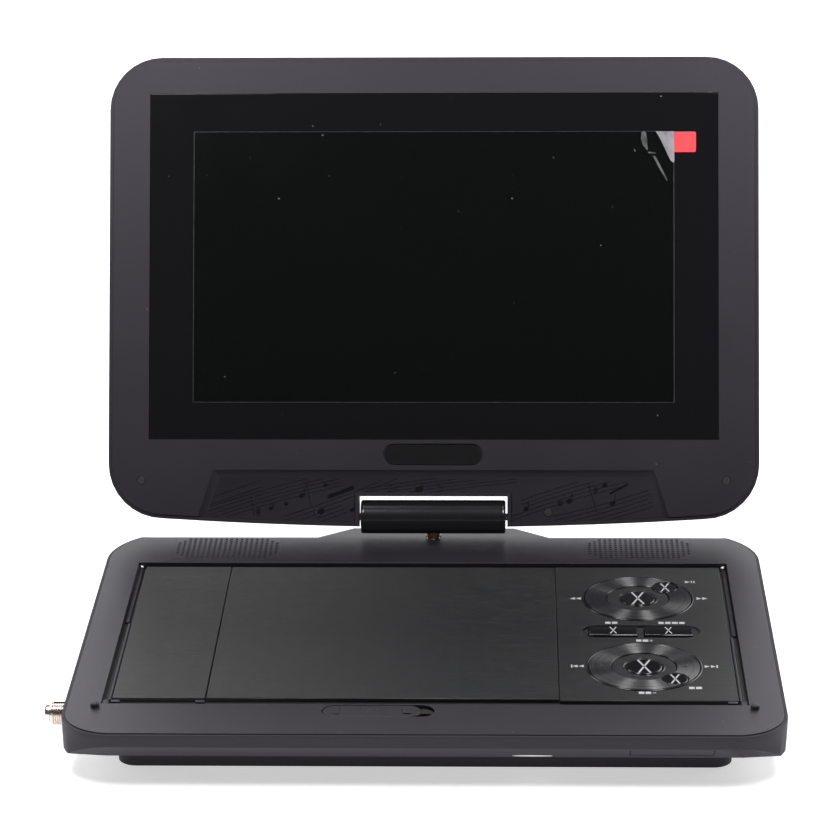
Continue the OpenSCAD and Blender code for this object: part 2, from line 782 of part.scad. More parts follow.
module rf_connector() {
  color("#d9d2cc") translate([0, rf_y, rf_z]) difference() {
    union() {
      rod_x_dir(-base_w / 2 - rf_out + 2, -base_w / 2, rf_d / 2);
      rod_x_dir(-base_w / 2 - EPS, -base_w / 2 + 3, rf_d / 2 - 0.3);
      rod_x_dir(-base_w / 2 - rf_out, -base_w / 2 - rf_out + 2 + EPS, rf_d / 2 - 1.2);
    }
    rod_x_dir(-base_w / 2 - rf_out - 1, -base_w / 2 - rf_out + 6, 1.1);
  }
}

module tuner_can() {
  color("#a9abaf") block([-base_w / 2 + 3.1, rf_y - 5.5, jack_z0],
      [-base_w / 2 + 34, rf_y + 5.5, channel_z - 0.9]);
}

module side_jacks() {
  color("#1a1a1c") {
    for (y = jack_y) difference() {
      union() {
        block([base_w / 2 - jack_in, y - 3.8, jack_z0], [jack_side, y + 3.8, jack_z + 3.4]);
        translate([0, y, jack_z]) rod_x_dir(jack_side - 1, base_w / 2, 2.8);
      }
      translate([0, y, jack_z]) rod_x_dir(base_w / 2 - jack_in + 1, base_w / 2 + 1, audio_d / 2);
    }
    difference() {
      union() {
        block([base_w / 2 - jack_in, power_y - 4.4, jack_z0], [jack_side, power_y + 4.4, jack_z + 3.4]);
        translate([0, power_y, jack_z]) rod_x_dir(jack_side - 1, base_w / 2, 3.3);
      }
      translate([0, power_y, jack_z]) rod_x_dir(base_w / 2 - jack_in + 1, base_w / 2 + 1, power_d / 2);
    }
  }
  color("#c9cace") translate([0, power_y, jack_z])
      rod_x_dir(base_w / 2 - jack_in + EPS, base_w / 2 - 2, 0.8);
}

module usb_port() {
  color("#c4c5c8") difference() {
    block([base_w / 2 - jack_in, usb_y - 6.8, jack_z - 3.1], [base_w / 2, usb_y + 6.8, jack_z + 3.1]);
    block([base_w / 2 - jack_in + 1, usb_y - 6.3, jack_z - 2.6],
        [base_w / 2 + 1, usb_y + 6.3, jack_z + 2.6]);
  }
}

// ---- hinge ----

module swivel_bracket() {
  color("#8d8f94") difference() {
    block([-22, axis_y - 10, plate_z - 2], [22, axis_y + 6, plate_z]);
    translate([0, axis_y, plate_z - 3]) cylinder(h = 5, r = post_r + SLIP);
  }
}

module swivel_post() {
  color("#a5826a") translate([0, axis_y, plate_z - 7]) cylinder(h = axis_z - 2.4 - plate_z + 7, r = post_r);
}

module swivel_stop_plate() {
  color("#8d8f94") translate([0, axis_y, 0]) difference() {
    union() {
      slab(plate_z - 3.4, plate_z - 2 - FIT) circle(6.4);
      slab(plate_z - 6, plate_z - 3.3) circle(4.9, $fn = 6);
      slab(plate_z - 3.4, plate_z - 2 - FIT) translate([5, -2]) square([4, 4]);
    }
    slab(0, base_h) circle(post_r + SLIP);
  }
}

module hinge_core() {
  color("#77797e") difference() {
    translate([0, axis_y, axis_z]) {
      rod_x_dir(-core_l / 2, core_l / 2, core_r);
    }
    translate([0, axis_y, axis_z]) rod_x_dir(-core_l / 2 - 1, -core_l / 2 + 8, shaft_r + SLIP);
    translate([0, axis_y, axis_z]) rod_x_dir(core_l / 2 - 8, core_l / 2 + 1, shaft_r + SLIP);
    translate([0, axis_y, axis_z - barrel_r]) cylinder(h = barrel_r - 2.3, r = post_r + SLIP);
  }
}

module friction_bushes() {
  color("#b08a5a") for (s = [-1, 1]) translate([s * 19, axis_y, axis_z]) difference() {
    rod_x_dir(-3, 3, core_r);
    rod_x_dir(-4, 4, shaft_r + SLIP);
  }
}

// Half of the barrel: side is -1 for the front half and 1 for the rear half
module barrel_half(side) {
  intersection() {
    translate([0, axis_y, axis_z]) difference() {
      rod_x_dir(-barrel_l / 2, barrel_l / 2, barrel_r);
      rod_x_dir(-barrel_l / 2 + cap_t, barrel_l / 2 - cap_t, barrel_r - barrel_wall);
      rod_x_dir(-barrel_l, barrel_l, shaft_r + 0.1);
      translate([0, 0, -barrel_d]) cylinder(h = barrel_d, r = post_r + 0.1);
    }
    translate([-barrel_l, axis_y - (side < 0 ? barrel_d : 0), axis_z - barrel_d])
        cube([2 * barrel_l, barrel_d, 2 * barrel_d]);
  }
}
module hinge_cover_front() { color("#201f23") barrel_half(-1); }
module hinge_cover_rear() { color("#201f23") barrel_half(1); }

// ---- lid: x across, y up from the hinge axis, z out of the screen ----

module in_lid() { translate([0, axis_y, axis_z]) rotate([90 - lid_lean, 0, 0]) children(); }

module lid_outline(i) {
  flat = lid_w / 2 - lid_low_r;
  bow = [for (k = [-12:12]) [flat * k / 12, lid_low + i - lid_bow * (1 - pow(k / 12, 2))]];
  rounded(-lid_w / 2 + i, lid_w / 2 - i, lid_low + i, lid_top - i, lid_low_r - i, lid_top_r - i);
  polygon(concat(bow, [[flat, lid_low + i + 5], [-flat, lid_low + i + 5]]));
}

module notch_plan(i) {
  translate([-notch_w / 2 - i, lid_low - 20]) square([notch_w + 2 * i, notch_top + i - lid_low + 20]);
}

module lid_plan(i) {
  difference() {
    lid_outline(i);
    notch_plan(i);
  }
}

// The lid as one solid up to the height top, chamfered round its back, moved in by i
module lid_shell(i, top) {
  difference() {
    hull() {
      slab(-face + lid_edge, top) lid_outline(i, $fn = 32);
      slab(-face + i, top) lid_outline(lid_edge, $fn = 32);
    }
    slab(-lid_t, lid_t) notch_plan(i);
  }
}

// The wide recess below the screen, moved in by i
module chin_plan(i) {
  polygon([[-chin_low_w / 2 + i, -20], [chin_low_w / 2 - i, -20], [chin_top_w / 2 - i, chin_s - i],
      [-chin_top_w / 2 + i, chin_s - i]]);
}

plugs = [[-lid_w / 2 + plug_side, plug_s, face], [lid_w / 2 - plug_side, plug_s, face],
  [-chin_plug_x, chin_plug_s, chin_floor], [chin_plug_x, chin_plug_s, chin_floor]];

module lid_front_bezel() {
  color("#48464c") in_lid() difference() {
    union() {
      slab(face - bezel_t, face) lid_plan(lid_seam + 0.1);
      intersection() {
        slab(chin_floor - 1.4, face - bezel_t + EPS) lid_plan(lid_seam + 0.1);
        translate([0, 0, -lid_t]) linear_extrude(2 * lid_t) chin_plan(-1.5);
      }
      for (p = plugs) translate([p[0], p[1], p[2] - 3.6]) cylinder(h = 3, r = 3);
    }
    hull() {
      slab(chin_floor, chin_floor + EPS) chin_plan(chin_slope);
      slab(face, face + EPS) chin_plan(0);
    }
    translate([0, badge_s, 0]) slab(face - 0.8, face + 1) stadium(badge_w, badge_h);
    translate([0, lens_mid, 0]) {
      slab(face - lens_t, face + 1) square([lens_w, lens_h], center = true);
      slab(face - 5, face + 1) square([lens_w - 7, lens_h - 6], center = true);
    }
    for (p = plugs) translate([p[0], p[1], 0]) {
      translate([0, 0, p[2] - 2.2]) cylinder(h = 6, r = plug_r + 0.1);
      translate([0, 0, p[2] - 5]) cylinder(h = 6, r = screw_r + 0.2);
    }
  }
}

module lid_rear_cover() {
  color("#48464c") in_lid() difference() {
    union() {
      difference() {
        lid_shell(0, face - lid_lip);
        lid_shell(lid_wall, face + 1);
      }
      for (k = [0:3]) translate([plugs[k][0], plugs[k][1], -face + 1])
          cylinder(h = plugs[k][2] - 3.6 + face - 1, r = 2.6);
    }
    for (p = plugs) translate([p[0], p[1], -face + 2.5]) cylinder(h = lid_t, r = screw_r + SLIP);
    for (x = [-leaf_x0 - 1, leaf_x0 - 4]) rod_x_dir(x, x + 5, shaft_r + 0.3);
  }
}

module screen_lens() {
  color([0.05, 0.05, 0.06, 0.9]) in_lid() translate([0, lens_mid, 0])
    slab(face - lens_t, face) square([lens_w - 0.1, lens_h - 0.1], center = true);
}

module lcd_panel() {
  color("#202a2e") in_lid() translate([0, active_mid, 0])
    slab(face - 4.4, face - lens_t - 0.1) square([active_w + 9, active_h + 10], center = true);
}

module lcd_backlight() {
  color("#e6e6e0") in_lid() translate([0, active_mid, 0])
    slab(face - 6.8, face - 4.4) square([active_w + 9, active_h + 10], center = true);
}

module lcd_board() {
  color("#2f6b45") in_lid() translate([0, active_mid - 20, 0]) {
    slab(-face + 3.4, -face + 4.6) square([90, 50], center = true);
    slab(-face + 4.5, -face + 6) translate([-24, 6]) square([12, 12], center = true);
    slab(-face + 4.5, -face + 6.2) translate([16, -8]) square([18, 9], center = true);
  }
}

module screen_film() {
  color([0.75, 0.78, 0.8, 0.4]) in_lid() translate([0, active_mid, 0])
    slab(face, face + film_t) square([active_w, active_h], center = true);
}

module film_pull_tab() {
  color("#e5333c") in_lid() translate([active_w / 2 + EPS, active_mid + active_h / 2 - tab_h, 0])
    slab(face, face + 0.3) square([tab_w, tab_h]);
}

module lid_screw_plugs() {
  color("#2b2a2e") in_lid() for (p = plugs) translate([p[0], p[1], p[2] - 0.9])
      cylinder(h = 0.8, r = plug_r);
}

module lid_screws() {
  color("#8d8f94") in_lid() for (p = plugs) translate([p[0], p[1], p[2] - 2.2]) {
    cylinder(h = 1.1, r = plug_r - 0.05);
    translate([0, 0, -6]) cylinder(h = 6.1, r = screw_r);
  }
}

module hinge_leaves() {
  color("#8d8f94") in_lid() for (s = [-1, 1]) difference() {
    union() {
      block([s > 0 ? leaf_x0 : -leaf_x0 - 5, leaf_low, -3.6], [s > 0 ? leaf_x0 + 5 : -leaf_x0, 6, 3.6]);
      block([s > 0 ? leaf_x0 : -leaf_x0 - 11, 5.9, -3.6], [s > 0 ? leaf_x0 + 11 : -leaf_x0, 17, -1.8]);
    }
    rod_x_dir(-lid_w, lid_w, shaft_r + SLIP);
  }
}

module tilt_shafts() {
  color("#b9babd") in_lid() for (s = [-1, 1])
    rod_x_dir(s > 0 ? core_l / 2 - 7 : -leaf_x0 - 4.6, s > 0 ? leaf_x0 + 4.6 : -core_l / 2 + 7, shaft_r);
}

place() lid_front_bezel();
place() lid_rear_cover();
place() screen_lens();
place() lcd_panel();
place() lcd_backlight();
place() lcd_board();
place() screen_film();
place() film_pull_tab();
place() lid_screw_plugs();
place() lid_screws();
place() hinge_leaves();
place() tilt_shafts();
place() hinge_cover_front();
place() hinge_cover_rear();
place() hinge_core();
place() friction_bushes();
place() swivel_post();
place() swivel_stop_plate();
place() base_top_cover();
place() base_bottom_cover();
place() battery_cover();
place() battery_pack();
place() left_trim_panel();
place() control_panel();
place() disc_well();
place() drive_chassis();
place() drive_dampers();
place() spindle_motor();
place() guide_rods();
place() sled_motor();
place() swivel_bracket();
place() key_mat();
place() key_board();
place() main_board();
place() speaker_grilles();
place() speakers();
place() rf_connector();
place() tuner_can();
place() side_jacks();
place() usb_port();
place() base_bumpers();
place() rubber_feet();
place() base_screws();
place() latch_spring();
place() disc_door();
place() open_slider();
place() nav_ring_upper();
place() nav_ring_lower();
place() centre_key_upper();
place() centre_key_lower();
place() small_key_upper();
place() small_key_lower();
place() bar_key_left();
place() bar_key_right();
place() spindle_hub();
place() pickup_sled();
place() pickup_lens();
place() lead_screw();
place() power_switch();
place() card_flap();
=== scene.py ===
"""Portable disc player: the detailed pieces, their finishes, the stage and the camera."""

import json
import math

import bmesh
import bpy
from bpy.props import FloatProperty, FloatVectorProperty, PointerProperty
from mathutils import Matrix, Vector

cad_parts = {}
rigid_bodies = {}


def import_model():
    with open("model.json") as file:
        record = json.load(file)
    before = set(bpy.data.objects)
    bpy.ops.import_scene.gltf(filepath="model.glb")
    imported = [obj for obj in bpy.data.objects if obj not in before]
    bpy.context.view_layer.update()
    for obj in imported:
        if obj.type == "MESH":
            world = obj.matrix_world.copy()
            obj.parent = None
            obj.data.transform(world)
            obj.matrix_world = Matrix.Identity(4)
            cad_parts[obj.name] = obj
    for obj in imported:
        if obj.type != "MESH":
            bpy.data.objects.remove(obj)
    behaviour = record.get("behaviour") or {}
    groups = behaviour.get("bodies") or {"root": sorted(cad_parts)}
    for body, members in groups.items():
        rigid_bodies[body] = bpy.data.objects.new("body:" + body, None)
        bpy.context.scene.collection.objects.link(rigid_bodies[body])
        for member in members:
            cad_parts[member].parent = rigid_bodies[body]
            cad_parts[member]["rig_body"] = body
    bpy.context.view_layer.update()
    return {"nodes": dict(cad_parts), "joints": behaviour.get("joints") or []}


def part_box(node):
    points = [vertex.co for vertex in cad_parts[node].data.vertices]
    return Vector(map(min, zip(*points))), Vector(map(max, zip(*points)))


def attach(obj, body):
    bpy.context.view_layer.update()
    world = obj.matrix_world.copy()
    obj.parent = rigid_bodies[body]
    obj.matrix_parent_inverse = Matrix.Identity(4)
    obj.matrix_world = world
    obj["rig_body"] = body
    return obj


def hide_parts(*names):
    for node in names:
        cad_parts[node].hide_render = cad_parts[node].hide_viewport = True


bl_info = {
    "name": "Portable Disc Player",
    "version": (1, 0, 0),
    "blender": (4, 5, 0),
    "location": "3D View > Sidebar > Player",
    "description": "Builds the detailed pieces of a portable disc player around its frame",
    "category": "Object",
}

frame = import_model()

MM = 0.001


def joint(name):
    """One of the frame's joints."""
    return next(j for j in frame["joints"] if j["name"] == name)


def middle(node):
    """The middle of a node's box."""
    low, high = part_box(node)
    return (low + high) / 2


# The base's working point: the middle of its width and of the strip of panels, on the ground
BASE_AT = (middle("base_bottom_cover").x, middle("left_trim_panel").y, 0)
BASE = Matrix.Translation(BASE_AT) @ Matrix.Scale(MM, 4)
AXIS = Vector(joint("tilt")["pos_m"])
LEAN = math.radians(68)
# The lid's working point: x across, y up from the hinge axis, z out of the screen
LID = Matrix.Translation(AXIS) @ Matrix.Rotation(LEAN, 4, "X") @ Matrix.Scale(MM, 4)


def in_base(node):
    """A node's box, seen from the base's working point."""
    low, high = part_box(node)
    turn = BASE.inverted()
    return turn @ low, turn @ high


COVER_HIGH = in_base("base_top_cover")[1]
PANEL_Z = in_base("left_trim_panel")[1].z
TOP_Z = COVER_HIGH.z
CONTROL_HIGH = in_base("control_panel")[1]
TRIM_LOW, TRIM_HIGH = in_base("left_trim_panel")
# Heights over the lid's working point: the bezel's face and the recessed chin
FACE = 7.0
CHIN = 5.4
# Edges of a frame node that turn by more than this can be rounded
SHARP = math.radians(28)
# How far a printed mark stands over its face
INK = 0.04


# ---- settings that a user would change ----


class PlayerFinishes(bpy.types.PropertyGroup):
    housing: FloatVectorProperty(
        name="Housing", description="Colour of the moulded housing", subtype="COLOR", size=3,
        default=(0.0125, 0.0109, 0.0155),
    )
    panel: FloatVectorProperty(
        name="Panels", description="Colour of the brushed panels", subtype="COLOR", size=3,
        default=(0.0032, 0.0034, 0.0046),
    )
    key: FloatVectorProperty(
        name="Keys", description="Colour of the gloss keys", subtype="COLOR", size=3,
        default=(0.009, 0.009, 0.011),
    )
    print_white: FloatVectorProperty(
        name="Print", description="Colour of the printed marks", subtype="COLOR", size=3,
        default=(0.42, 0.42, 0.43),
    )
    tab: FloatVectorProperty(
        name="Pull tab", description="Colour of the film's pull tab", subtype="COLOR", size=3,
        default=(0.86, 0.045, 0.06),
    )
    grain: FloatProperty(
        name="Grain", description="Depth of the moulded grain", default=0.00006, min=0, max=0.0005,
        precision=6, subtype="DISTANCE",
    )


class PlayerSizes(bpy.types.PropertyGroup):
    edge: FloatProperty(
        name="Edge", description="Rounding of the housing's edges, in millimetres", default=0.55,
        min=0.1, max=1.0,
    )
    panel_edge: FloatProperty(
        name="Panel edge", description="Rounding of the panels' edges, in millimetres", default=0.3,
        min=0.1, max=0.6,
    )
    thread_pitch: FloatProperty(
        name="Thread pitch", description="Pitch of the aerial connector's thread, in millimetres",
        default=0.794, min=0.4, max=1.5,
    )


class PlayerStage(bpy.types.PropertyGroup):
    floor: FloatVectorProperty(
        name="Floor", description="Colour of the floor", subtype="COLOR", size=3,
        default=(0.93, 0.93, 0.93),
    )
    key_power: FloatProperty(
        name="Near lights", description="Power of each near softbox", default=1.9, min=0,
        subtype="POWER",
    )
    back_power: FloatProperty(
        name="Back light", description="Power of the bright backdrop", default=38, min=0,
        subtype="POWER",
    )
    side_power: FloatProperty(
        name="Side lights", description="Power of the side softboxes", default=6.5, min=0,
        subtype="POWER",
    )
    fill_power: FloatProperty(
        name="Overhead strips", description="Power of each narrow overhead softbox", default=1.6, min=0,
        subtype="POWER",
    )


# ---- shader maths ----


class Signal:
    """A shader socket that takes part in Python expressions."""

    def __init__(self, finish, socket):
        self.finish = finish
        self.socket = socket

    def math(self, operation, *others):
        return self.finish.node("ShaderNodeMath", {"operation": operation}, dict(enumerate((self, *others))))

    def __add__(self, other):
        return self.math("ADD", other)

    def __sub__(self, other):
        return self.math("SUBTRACT", other)

    def __mul__(self, other):
        return self.math("MULTIPLY", other)

    def __radd__(self, other):
        return self.math("ADD", other)

    def __rmul__(self, other):
        return self.math("MULTIPLY", other)

    def __rsub__(self, other):
        return self.finish.node("ShaderNodeMath", {"operation": "SUBTRACT"}, {0: other, 1: self})

    def step(self, low, high):
        """0 below low, 1 above high, smooth between."""
        return self.finish.node(
            "ShaderNodeMapRange",
            {"interpolation_type": "SMOOTHSTEP"},
            {"Value": self, "From Min": low, "From Max": high},
        )


class Finish:
    """One material, built round its Principled shader."""

    def __init__(self, name, colour, roughness, **constant):
        self.material = bpy.data.materials.new(name)
        self.material.use_nodes = True
        self.tree = self.material.node_tree
        self.shader = self.tree.nodes["Principled BSDF"]
        self.material.diffuse_color = (*colour, 1)
        self.set("Base Color", (*colour, 1))
        self.set("Roughness", roughness)
        for socket, value in constant.items():
            self.set(socket.replace("_", " "), value)

    def node(self, kind, settings=None, sockets=None, output=0):
        made = self.tree.nodes.new(kind)
        for key, value in (settings or {}).items():
            setattr(made, key, value)
        for key, value in (sockets or {}).items():
            self.feed(made.inputs[key], value)
        return Signal(self, made.outputs[output])

    def feed(self, socket, value):
        if isinstance(value, Signal):
            self.tree.links.new(value.socket, socket)
        else:
            socket.default_value = value

    def set(self, socket, value):
        self.feed(self.shader.inputs[socket], value)
        return self

    def place(self, scale=(1, 1, 1), location=(0, 0, 0)):
        """Object coordinates, moved and scaled."""
        here = self.node("ShaderNodeTexCoord", output="Object")
        return self.node("ShaderNodeMapping", {}, {"Vector": here, "Scale": scale, "Location": location})

    def noise(self, vector, scale, detail=2.0, roughness=0.5):
        return self.node(
            "ShaderNodeTexNoise", {},
            {"Vector": vector, "Scale": scale, "Detail": detail, "Roughness": roughness},
        )

    def blend(self, factor, first, second):
        """A colour between first and second."""
        return self.node("ShaderNodeMix", {"data_type": "RGBA"}, {0: factor, 6: first, 7: second}, output=2)

    def tangent(self, axis):
        """The direction of the brushing: round the piece's own axis."""
        self.feed(
            self.shader.inputs["Tangent"],
            self.node("ShaderNodeTangent", {"direction_type": "RADIAL", "axis": axis}),
        )

    def bump(self, height, distance, strength=1.0):
        self.set(
            "Normal",
            self.node("ShaderNodeBump", {}, {"Height": height, "Distance": distance, "Strength": strength}),
        )


def tint(colour, factor):
    """A lighter or darker colour, with alpha."""
    return (*[min(1, c * factor) for c in colour], 1)


# ---- finishes ----


def moulded(name, colour, depth, roughness=0.47, grain=2300, dust=True):
    """Fine grained moulded plastic, a little uneven in gloss and shade."""
    made = Finish(name, colour, roughness, IOR=1.46, Specular_Tint=(0.94, 0.89, 1.0, 1))
    here = made.place()
    fine = made.noise(here, grain, 3.0, 0.65)
    cloud = made.noise(here, 35, 2.0)
    shade = made.blend(cloud.step(0.3, 0.7), tint(colour, 0.93), tint(colour, 1.07))
    if dust:
        speck = made.noise(here, 620, 0.0).step(0.88, 0.91)
        shade = made.blend(speck * 0.35, shade, (0.30, 0.29, 0.30, 1))
    made.set("Base Color", shade)
    made.set("Roughness", roughness + 0.16 * (fine - 0.5) + 0.06 * (cloud - 0.5))
    made.bump(fine, depth, 0.7)
    return made.material


def gloss(name, colour, roughness=0.16, depth=0.000002, coat=0.0):
    """Smooth gloss plastic with faint wiping marks."""
    made = Finish(name, colour, roughness, IOR=1.5, Coat_Weight=coat)
    here = made.place()
    haze = made.noise(here, 60, 4.0, 0.6)
    speck = made.noise(here, 900, 0.0).step(0.89, 0.92)
    made.set("Base Color", made.blend(speck * 0.5, tint(colour, 1), (0.25, 0.25, 0.26, 1)))
    made.set("Roughness", roughness + 0.10 * (haze - 0.5) + speck * 0.3)
    made.bump(made.noise(here, 160, 1.0), depth, 0.5)
    return made.material


def brushed(name, colour, roughness=0.43, depth=0.00014):
    """A panel brushed along X: long fine lines in shade, gloss and height."""
    made = Finish(name, colour, roughness, IOR=1.5, Anisotropic=0.97)
    made.tangent("X")
    lines = made.noise(made.place(scale=(9, 1500, 400)), 1.0, 4.0, 0.75)
    wide = made.noise(made.place(scale=(2.5, 420, 60)), 1.0, 2.0, 0.6)
    tone = lines * 0.8 + wide * 0.2
    made.set("Base Color", made.blend(tone.step(0.3, 0.7), tint(colour, 0.78), tint(colour, 1.28)))
    made.set("Roughness", roughness + 0.2 * (lines - 0.5))
    made.bump(lines, depth, 0.8)
    return made.material


def spun(name, colour, centre, pitch=0.7, depth=0.00003, roughness=0.30):
    """A face turned in fine circles about centre, so that it shines in fans."""
    made = Finish(name, colour, roughness, IOR=2.4, Anisotropic=0.97, Anisotropic_Rotation=0.25)
    here = made.place(location=(-centre.x, -centre.y, 0))
    flat = made.node("ShaderNodeVectorMath", {"operation": "MULTIPLY"}, {0: here, 1: (1, 1, 0)})
    radius = made.node("ShaderNodeVectorMath", {"operation": "LENGTH"}, {0: flat}, output="Value")
    line = made.node(
        "ShaderNodeTexNoise", {"noise_dimensions": "1D"},
        {"W": radius, "Scale": 1 / (pitch * MM), "Detail": 2.0},
    )
    made.set("Base Color", made.blend(line.step(0.3, 0.7), tint(colour, 0.8), tint(colour, 1.3)))
    made.set("Roughness", roughness + 0.12 * (line - 0.5))
    made.bump(line, depth, 0.5)
    made.tangent("Z")
    return made.material


def metal(name, colour, roughness=0.3, stretch=(400, 400, 400), depth=0.00001):
    """Bare or plated metal with fine tool marks and uneven gloss."""
    made = Finish(name, colour, roughness, Metallic=1.0)
    marks = made.noise(made.place(scale=stretch), 1.0, 3.0, 0.6)
    stain = made.noise(made.place(), 90, 2.0)
    made.set("Base Color", made.blend(stain.step(0.3, 0.75), tint(colour, 0.82), tint(colour, 1.08)))
    made.set("Roughness", roughness + 0.24 * (marks - 0.5) + 0.08 * (stain - 0.5))
    made.bump(marks, depth, 0.6)
    return made.material


def board(name):
    """Green circuit board with tracks under its mask and pads."""
    made = Finish(name, (0.02, 0.11, 0.05), 0.35, IOR=1.5)
    tracks = made.node(
        "ShaderNodeTexBrick", {"offset": 0.37},
        {
            "Vector": made.place(), "Scale": 260.0, "Mortar Size": 0.06, "Color1": (1, 1, 1, 1),
            "Color2": (0.7, 0.7, 0.7, 1), "Mortar": (0, 0, 0, 1),
        },
    )
    dots = made.node(
        "ShaderNodeTexVoronoi", {}, {"Vector": made.place(), "Scale": 380.0}, output="Distance",
    ).step(0.16, 0.2)
    shade = made.blend(tracks, (0.05, 0.21, 0.09, 1), (0.015, 0.10, 0.04, 1))
    made.set("Base Color", made.blend(dots, (0.55, 0.5, 0.38, 1), shade))
    made.set("Metallic", 1 - dots)
    made.set("Roughness", 0.3 + 0.2 * made.noise(made.place(), 700))
    made.bump(dots, 0.00003, 0.6)
    return made.material


def speckled(name, colour, roughness, size=700, depth=0.00002, spread=0.25, **constant):
    """A plain finish with fine mottling: rubber, paint, unmarked plastic; also used for the painted shade in
    the gutters and the painted highlights on the film.
    """
    made = Finish(name, colour, roughness, **constant)
    fine = made.noise(made.place(), size, 3.0, 0.6)
    made.set(
        "Base Color",
        made.blend(fine.step(0.3, 0.7), tint(colour, 1 - spread), tint(colour, 1 + spread)),
    )
    made.set("Roughness", roughness + 0.2 * (fine - 0.5))
    made.bump(fine, depth, 0.6)
    return made.material


def clear_film(name, colour):
    """Clear protective film over the dark glass, with haze and a few specks of dust."""
    made = Finish(name, colour, 0.09, IOR=1.45)
    here = made.place()
    haze = made.noise(here, 45, 3.0, 0.6)
    speck = made.noise(here, 620, 0.0).step(0.875, 0.90)
    made.set("Base Color", made.blend(speck, tint(colour, 1), (0.12, 0.12, 0.12, 1)))
    made.set("Alpha", 0.62 + 0.3 * speck)
    made.set("Roughness", 0.08 + 0.08 * haze)
    return made.material


finishes = {}


def mix_finishes():
    """Every finish, by the name that the pieces use."""
    look = bpy.context.scene.player_finishes
    housing, panel, key = tuple(look.housing), tuple(look.panel), tuple(look.key)
    upper, lower = middle("nav_ring_upper"), middle("nav_ring_lower")
    finishes.update(
        housing=moulded("moulded_housing", housing, look.grain),
        under=moulded("moulded_underside", tint(housing, 0.9)[:3], look.grain, 0.66, dust=False),
        chin=moulded("moulded_chin", tint(housing, 0.6)[:3], look.grain * 0.5, 0.5, dust=False),
        relief=gloss("chin_relief", tint(housing, 0.14)[:3], 0.3),
        badge=gloss("badge_gloss", (0.010, 0.010, 0.011), 0.22),
        rail=moulded("gutter_rail", tint(housing, 0.8)[:3], look.grain, 0.5, dust=False),
        # Painted highlight: thin strips along the film's border are coloured lighter for the light line its
        # edges catch
        film_rim=speckled("film_edge_painted_highlight", (0.045, 0.045, 0.048), 0.25, 400, 0.000002, 0.2),
        panel=brushed("brushed_panel", panel),
        key=gloss("gloss_key", key, 0.14),
        ring_upper=spun("spun_ring_upper", key, upper),
        ring_lower=spun("spun_ring_lower", key, lower),
        barrel=gloss("gloss_barrel", (0.013, 0.013, 0.015), 0.2, coat=0.15),
        lens=gloss("screen_glass", (0.0066, 0.0066, 0.0080), 0.07),
        film=clear_film("clear_film", (0.0042, 0.0052, 0.0046)),
        # Painted reflection: the lifted corner of the clear film is coloured pale grey for the light it
        # reflects
        film_corner=speckled("lifted_film_painted_sheen", (0.29, 0.27, 0.30), 0.3, 160, 0.00001, 0.22),
        # Painted highlight: creases in the clear film are coloured light grey for the light they catch
        streak=speckled("film_crease_painted_highlight", (0.085, 0.085, 0.09), 0.3, 300, 0.00001, 0.5),
        tab=speckled("pull_tab", tuple(look.tab), 0.42, 500, 0.00001, 0.06),
        cell=gloss("panel_cell", (0.008, 0.009, 0.010), 0.1),
        backlight=speckled("backlight_sheet", (0.80, 0.80, 0.77), 0.5, 300, 0.00001, 0.05),
        board=board("circuit_board"),
        plug=speckled("rubber_plug", (0.012, 0.012, 0.013), 0.6, 1500),
        mat=speckled("key_mat", (0.45, 0.45, 0.42), 0.7, 900, 0.00003, 0.1),
        well=speckled("bay_plastic", (0.022, 0.021, 0.025), 0.45, 1500, 0.00003),
        # Painted shade: the deck floor in the gutters is the housing's moulding, coloured near black for the
        # shade that falls in the deep gutters
        shadow_gap=speckled("gutter_painted_shade", (0.006, 0.006, 0.007), 0.5, 1500),
        steel=metal("sheet_steel", (0.50, 0.50, 0.52), 0.34, (300, 2600, 700)),
        bright=metal("bright_steel", (0.62, 0.62, 0.64), 0.2, (3000, 300, 3000)),
        copper=metal("copper_post", (0.56, 0.37, 0.27), 0.28, (200, 200, 3200)),
        nickel=metal("nickel_plate", (0.80, 0.72, 0.69), 0.26, (2600, 300, 300)),
        optic=gloss("pickup_glass", (0.03, 0.06, 0.13), 0.05, coat=0.6),
        jack=speckled("socket_black", (0.010, 0.010, 0.011), 0.4, 1800),
        battery=speckled("battery_wrap", (0.03, 0.075, 0.25), 0.35, 260, 0.00002, 0.12),
        bronze=metal("sintered_bronze", (0.42, 0.29, 0.16), 0.45, (900, 900, 900)),
        damper=speckled("damper_rubber", (0.14, 0.075, 0.12), 0.75, 1200),
        marks=speckled("print_white", tuple(look.print_white), 0.5, 1500, 0.000002, 0.04),
        sticker=speckled("sticker_white", (0.82, 0.82, 0.80), 0.45, 900, 0.000002, 0.03),
        cloth=speckled("speaker_cloth", (0.006, 0.006, 0.006), 0.9, 2500, 0.00005),
    )


# ---- making pieces ----


def beside(bm, kind, **values):
    """Runs one of bmesh's create_ operators and gives its new vertices."""
    return getattr(bmesh.ops, "create_" + kind)(bm, **values)["verts"]


def move(bm, verts, scale=None, turn=None, shift=None):
    """Scales, turns by (angle, axis) and shifts, in that order."""
    if scale:
        bmesh.ops.scale(bm, vec=scale, verts=verts)
    if turn:
        bmesh.ops.rotate(bm, cent=(0, 0, 0), matrix=Matrix.Rotation(turn[0], 3, turn[1]), verts=verts)
    if shift:
        bmesh.ops.translate(bm, vec=shift, verts=verts)
    return verts


def round_edges(bm, edges, radius, segments):
    """Rounds edges without touching the faces' materials."""
    bmesh.ops.bevel(
        bm, geom=edges, offset=radius, offset_type="OFFSET", segments=segments, profile=0.5,
        affect="EDGES", clamp_overlap=True, material=-1,
    )


def brick(bm, low, high, edge, segments=2):
    """A box between two corners, its edges rounded by edge."""
    size = [b - a for a, b in zip(low, high)]
    verts = move(bm, beside(bm, "cube", size=1), scale=size, shift=[(a + b) / 2 for a, b in zip(low, high)])
    round_edges(bm, list({e for v in verts for e in v.link_edges}), edge, segments)


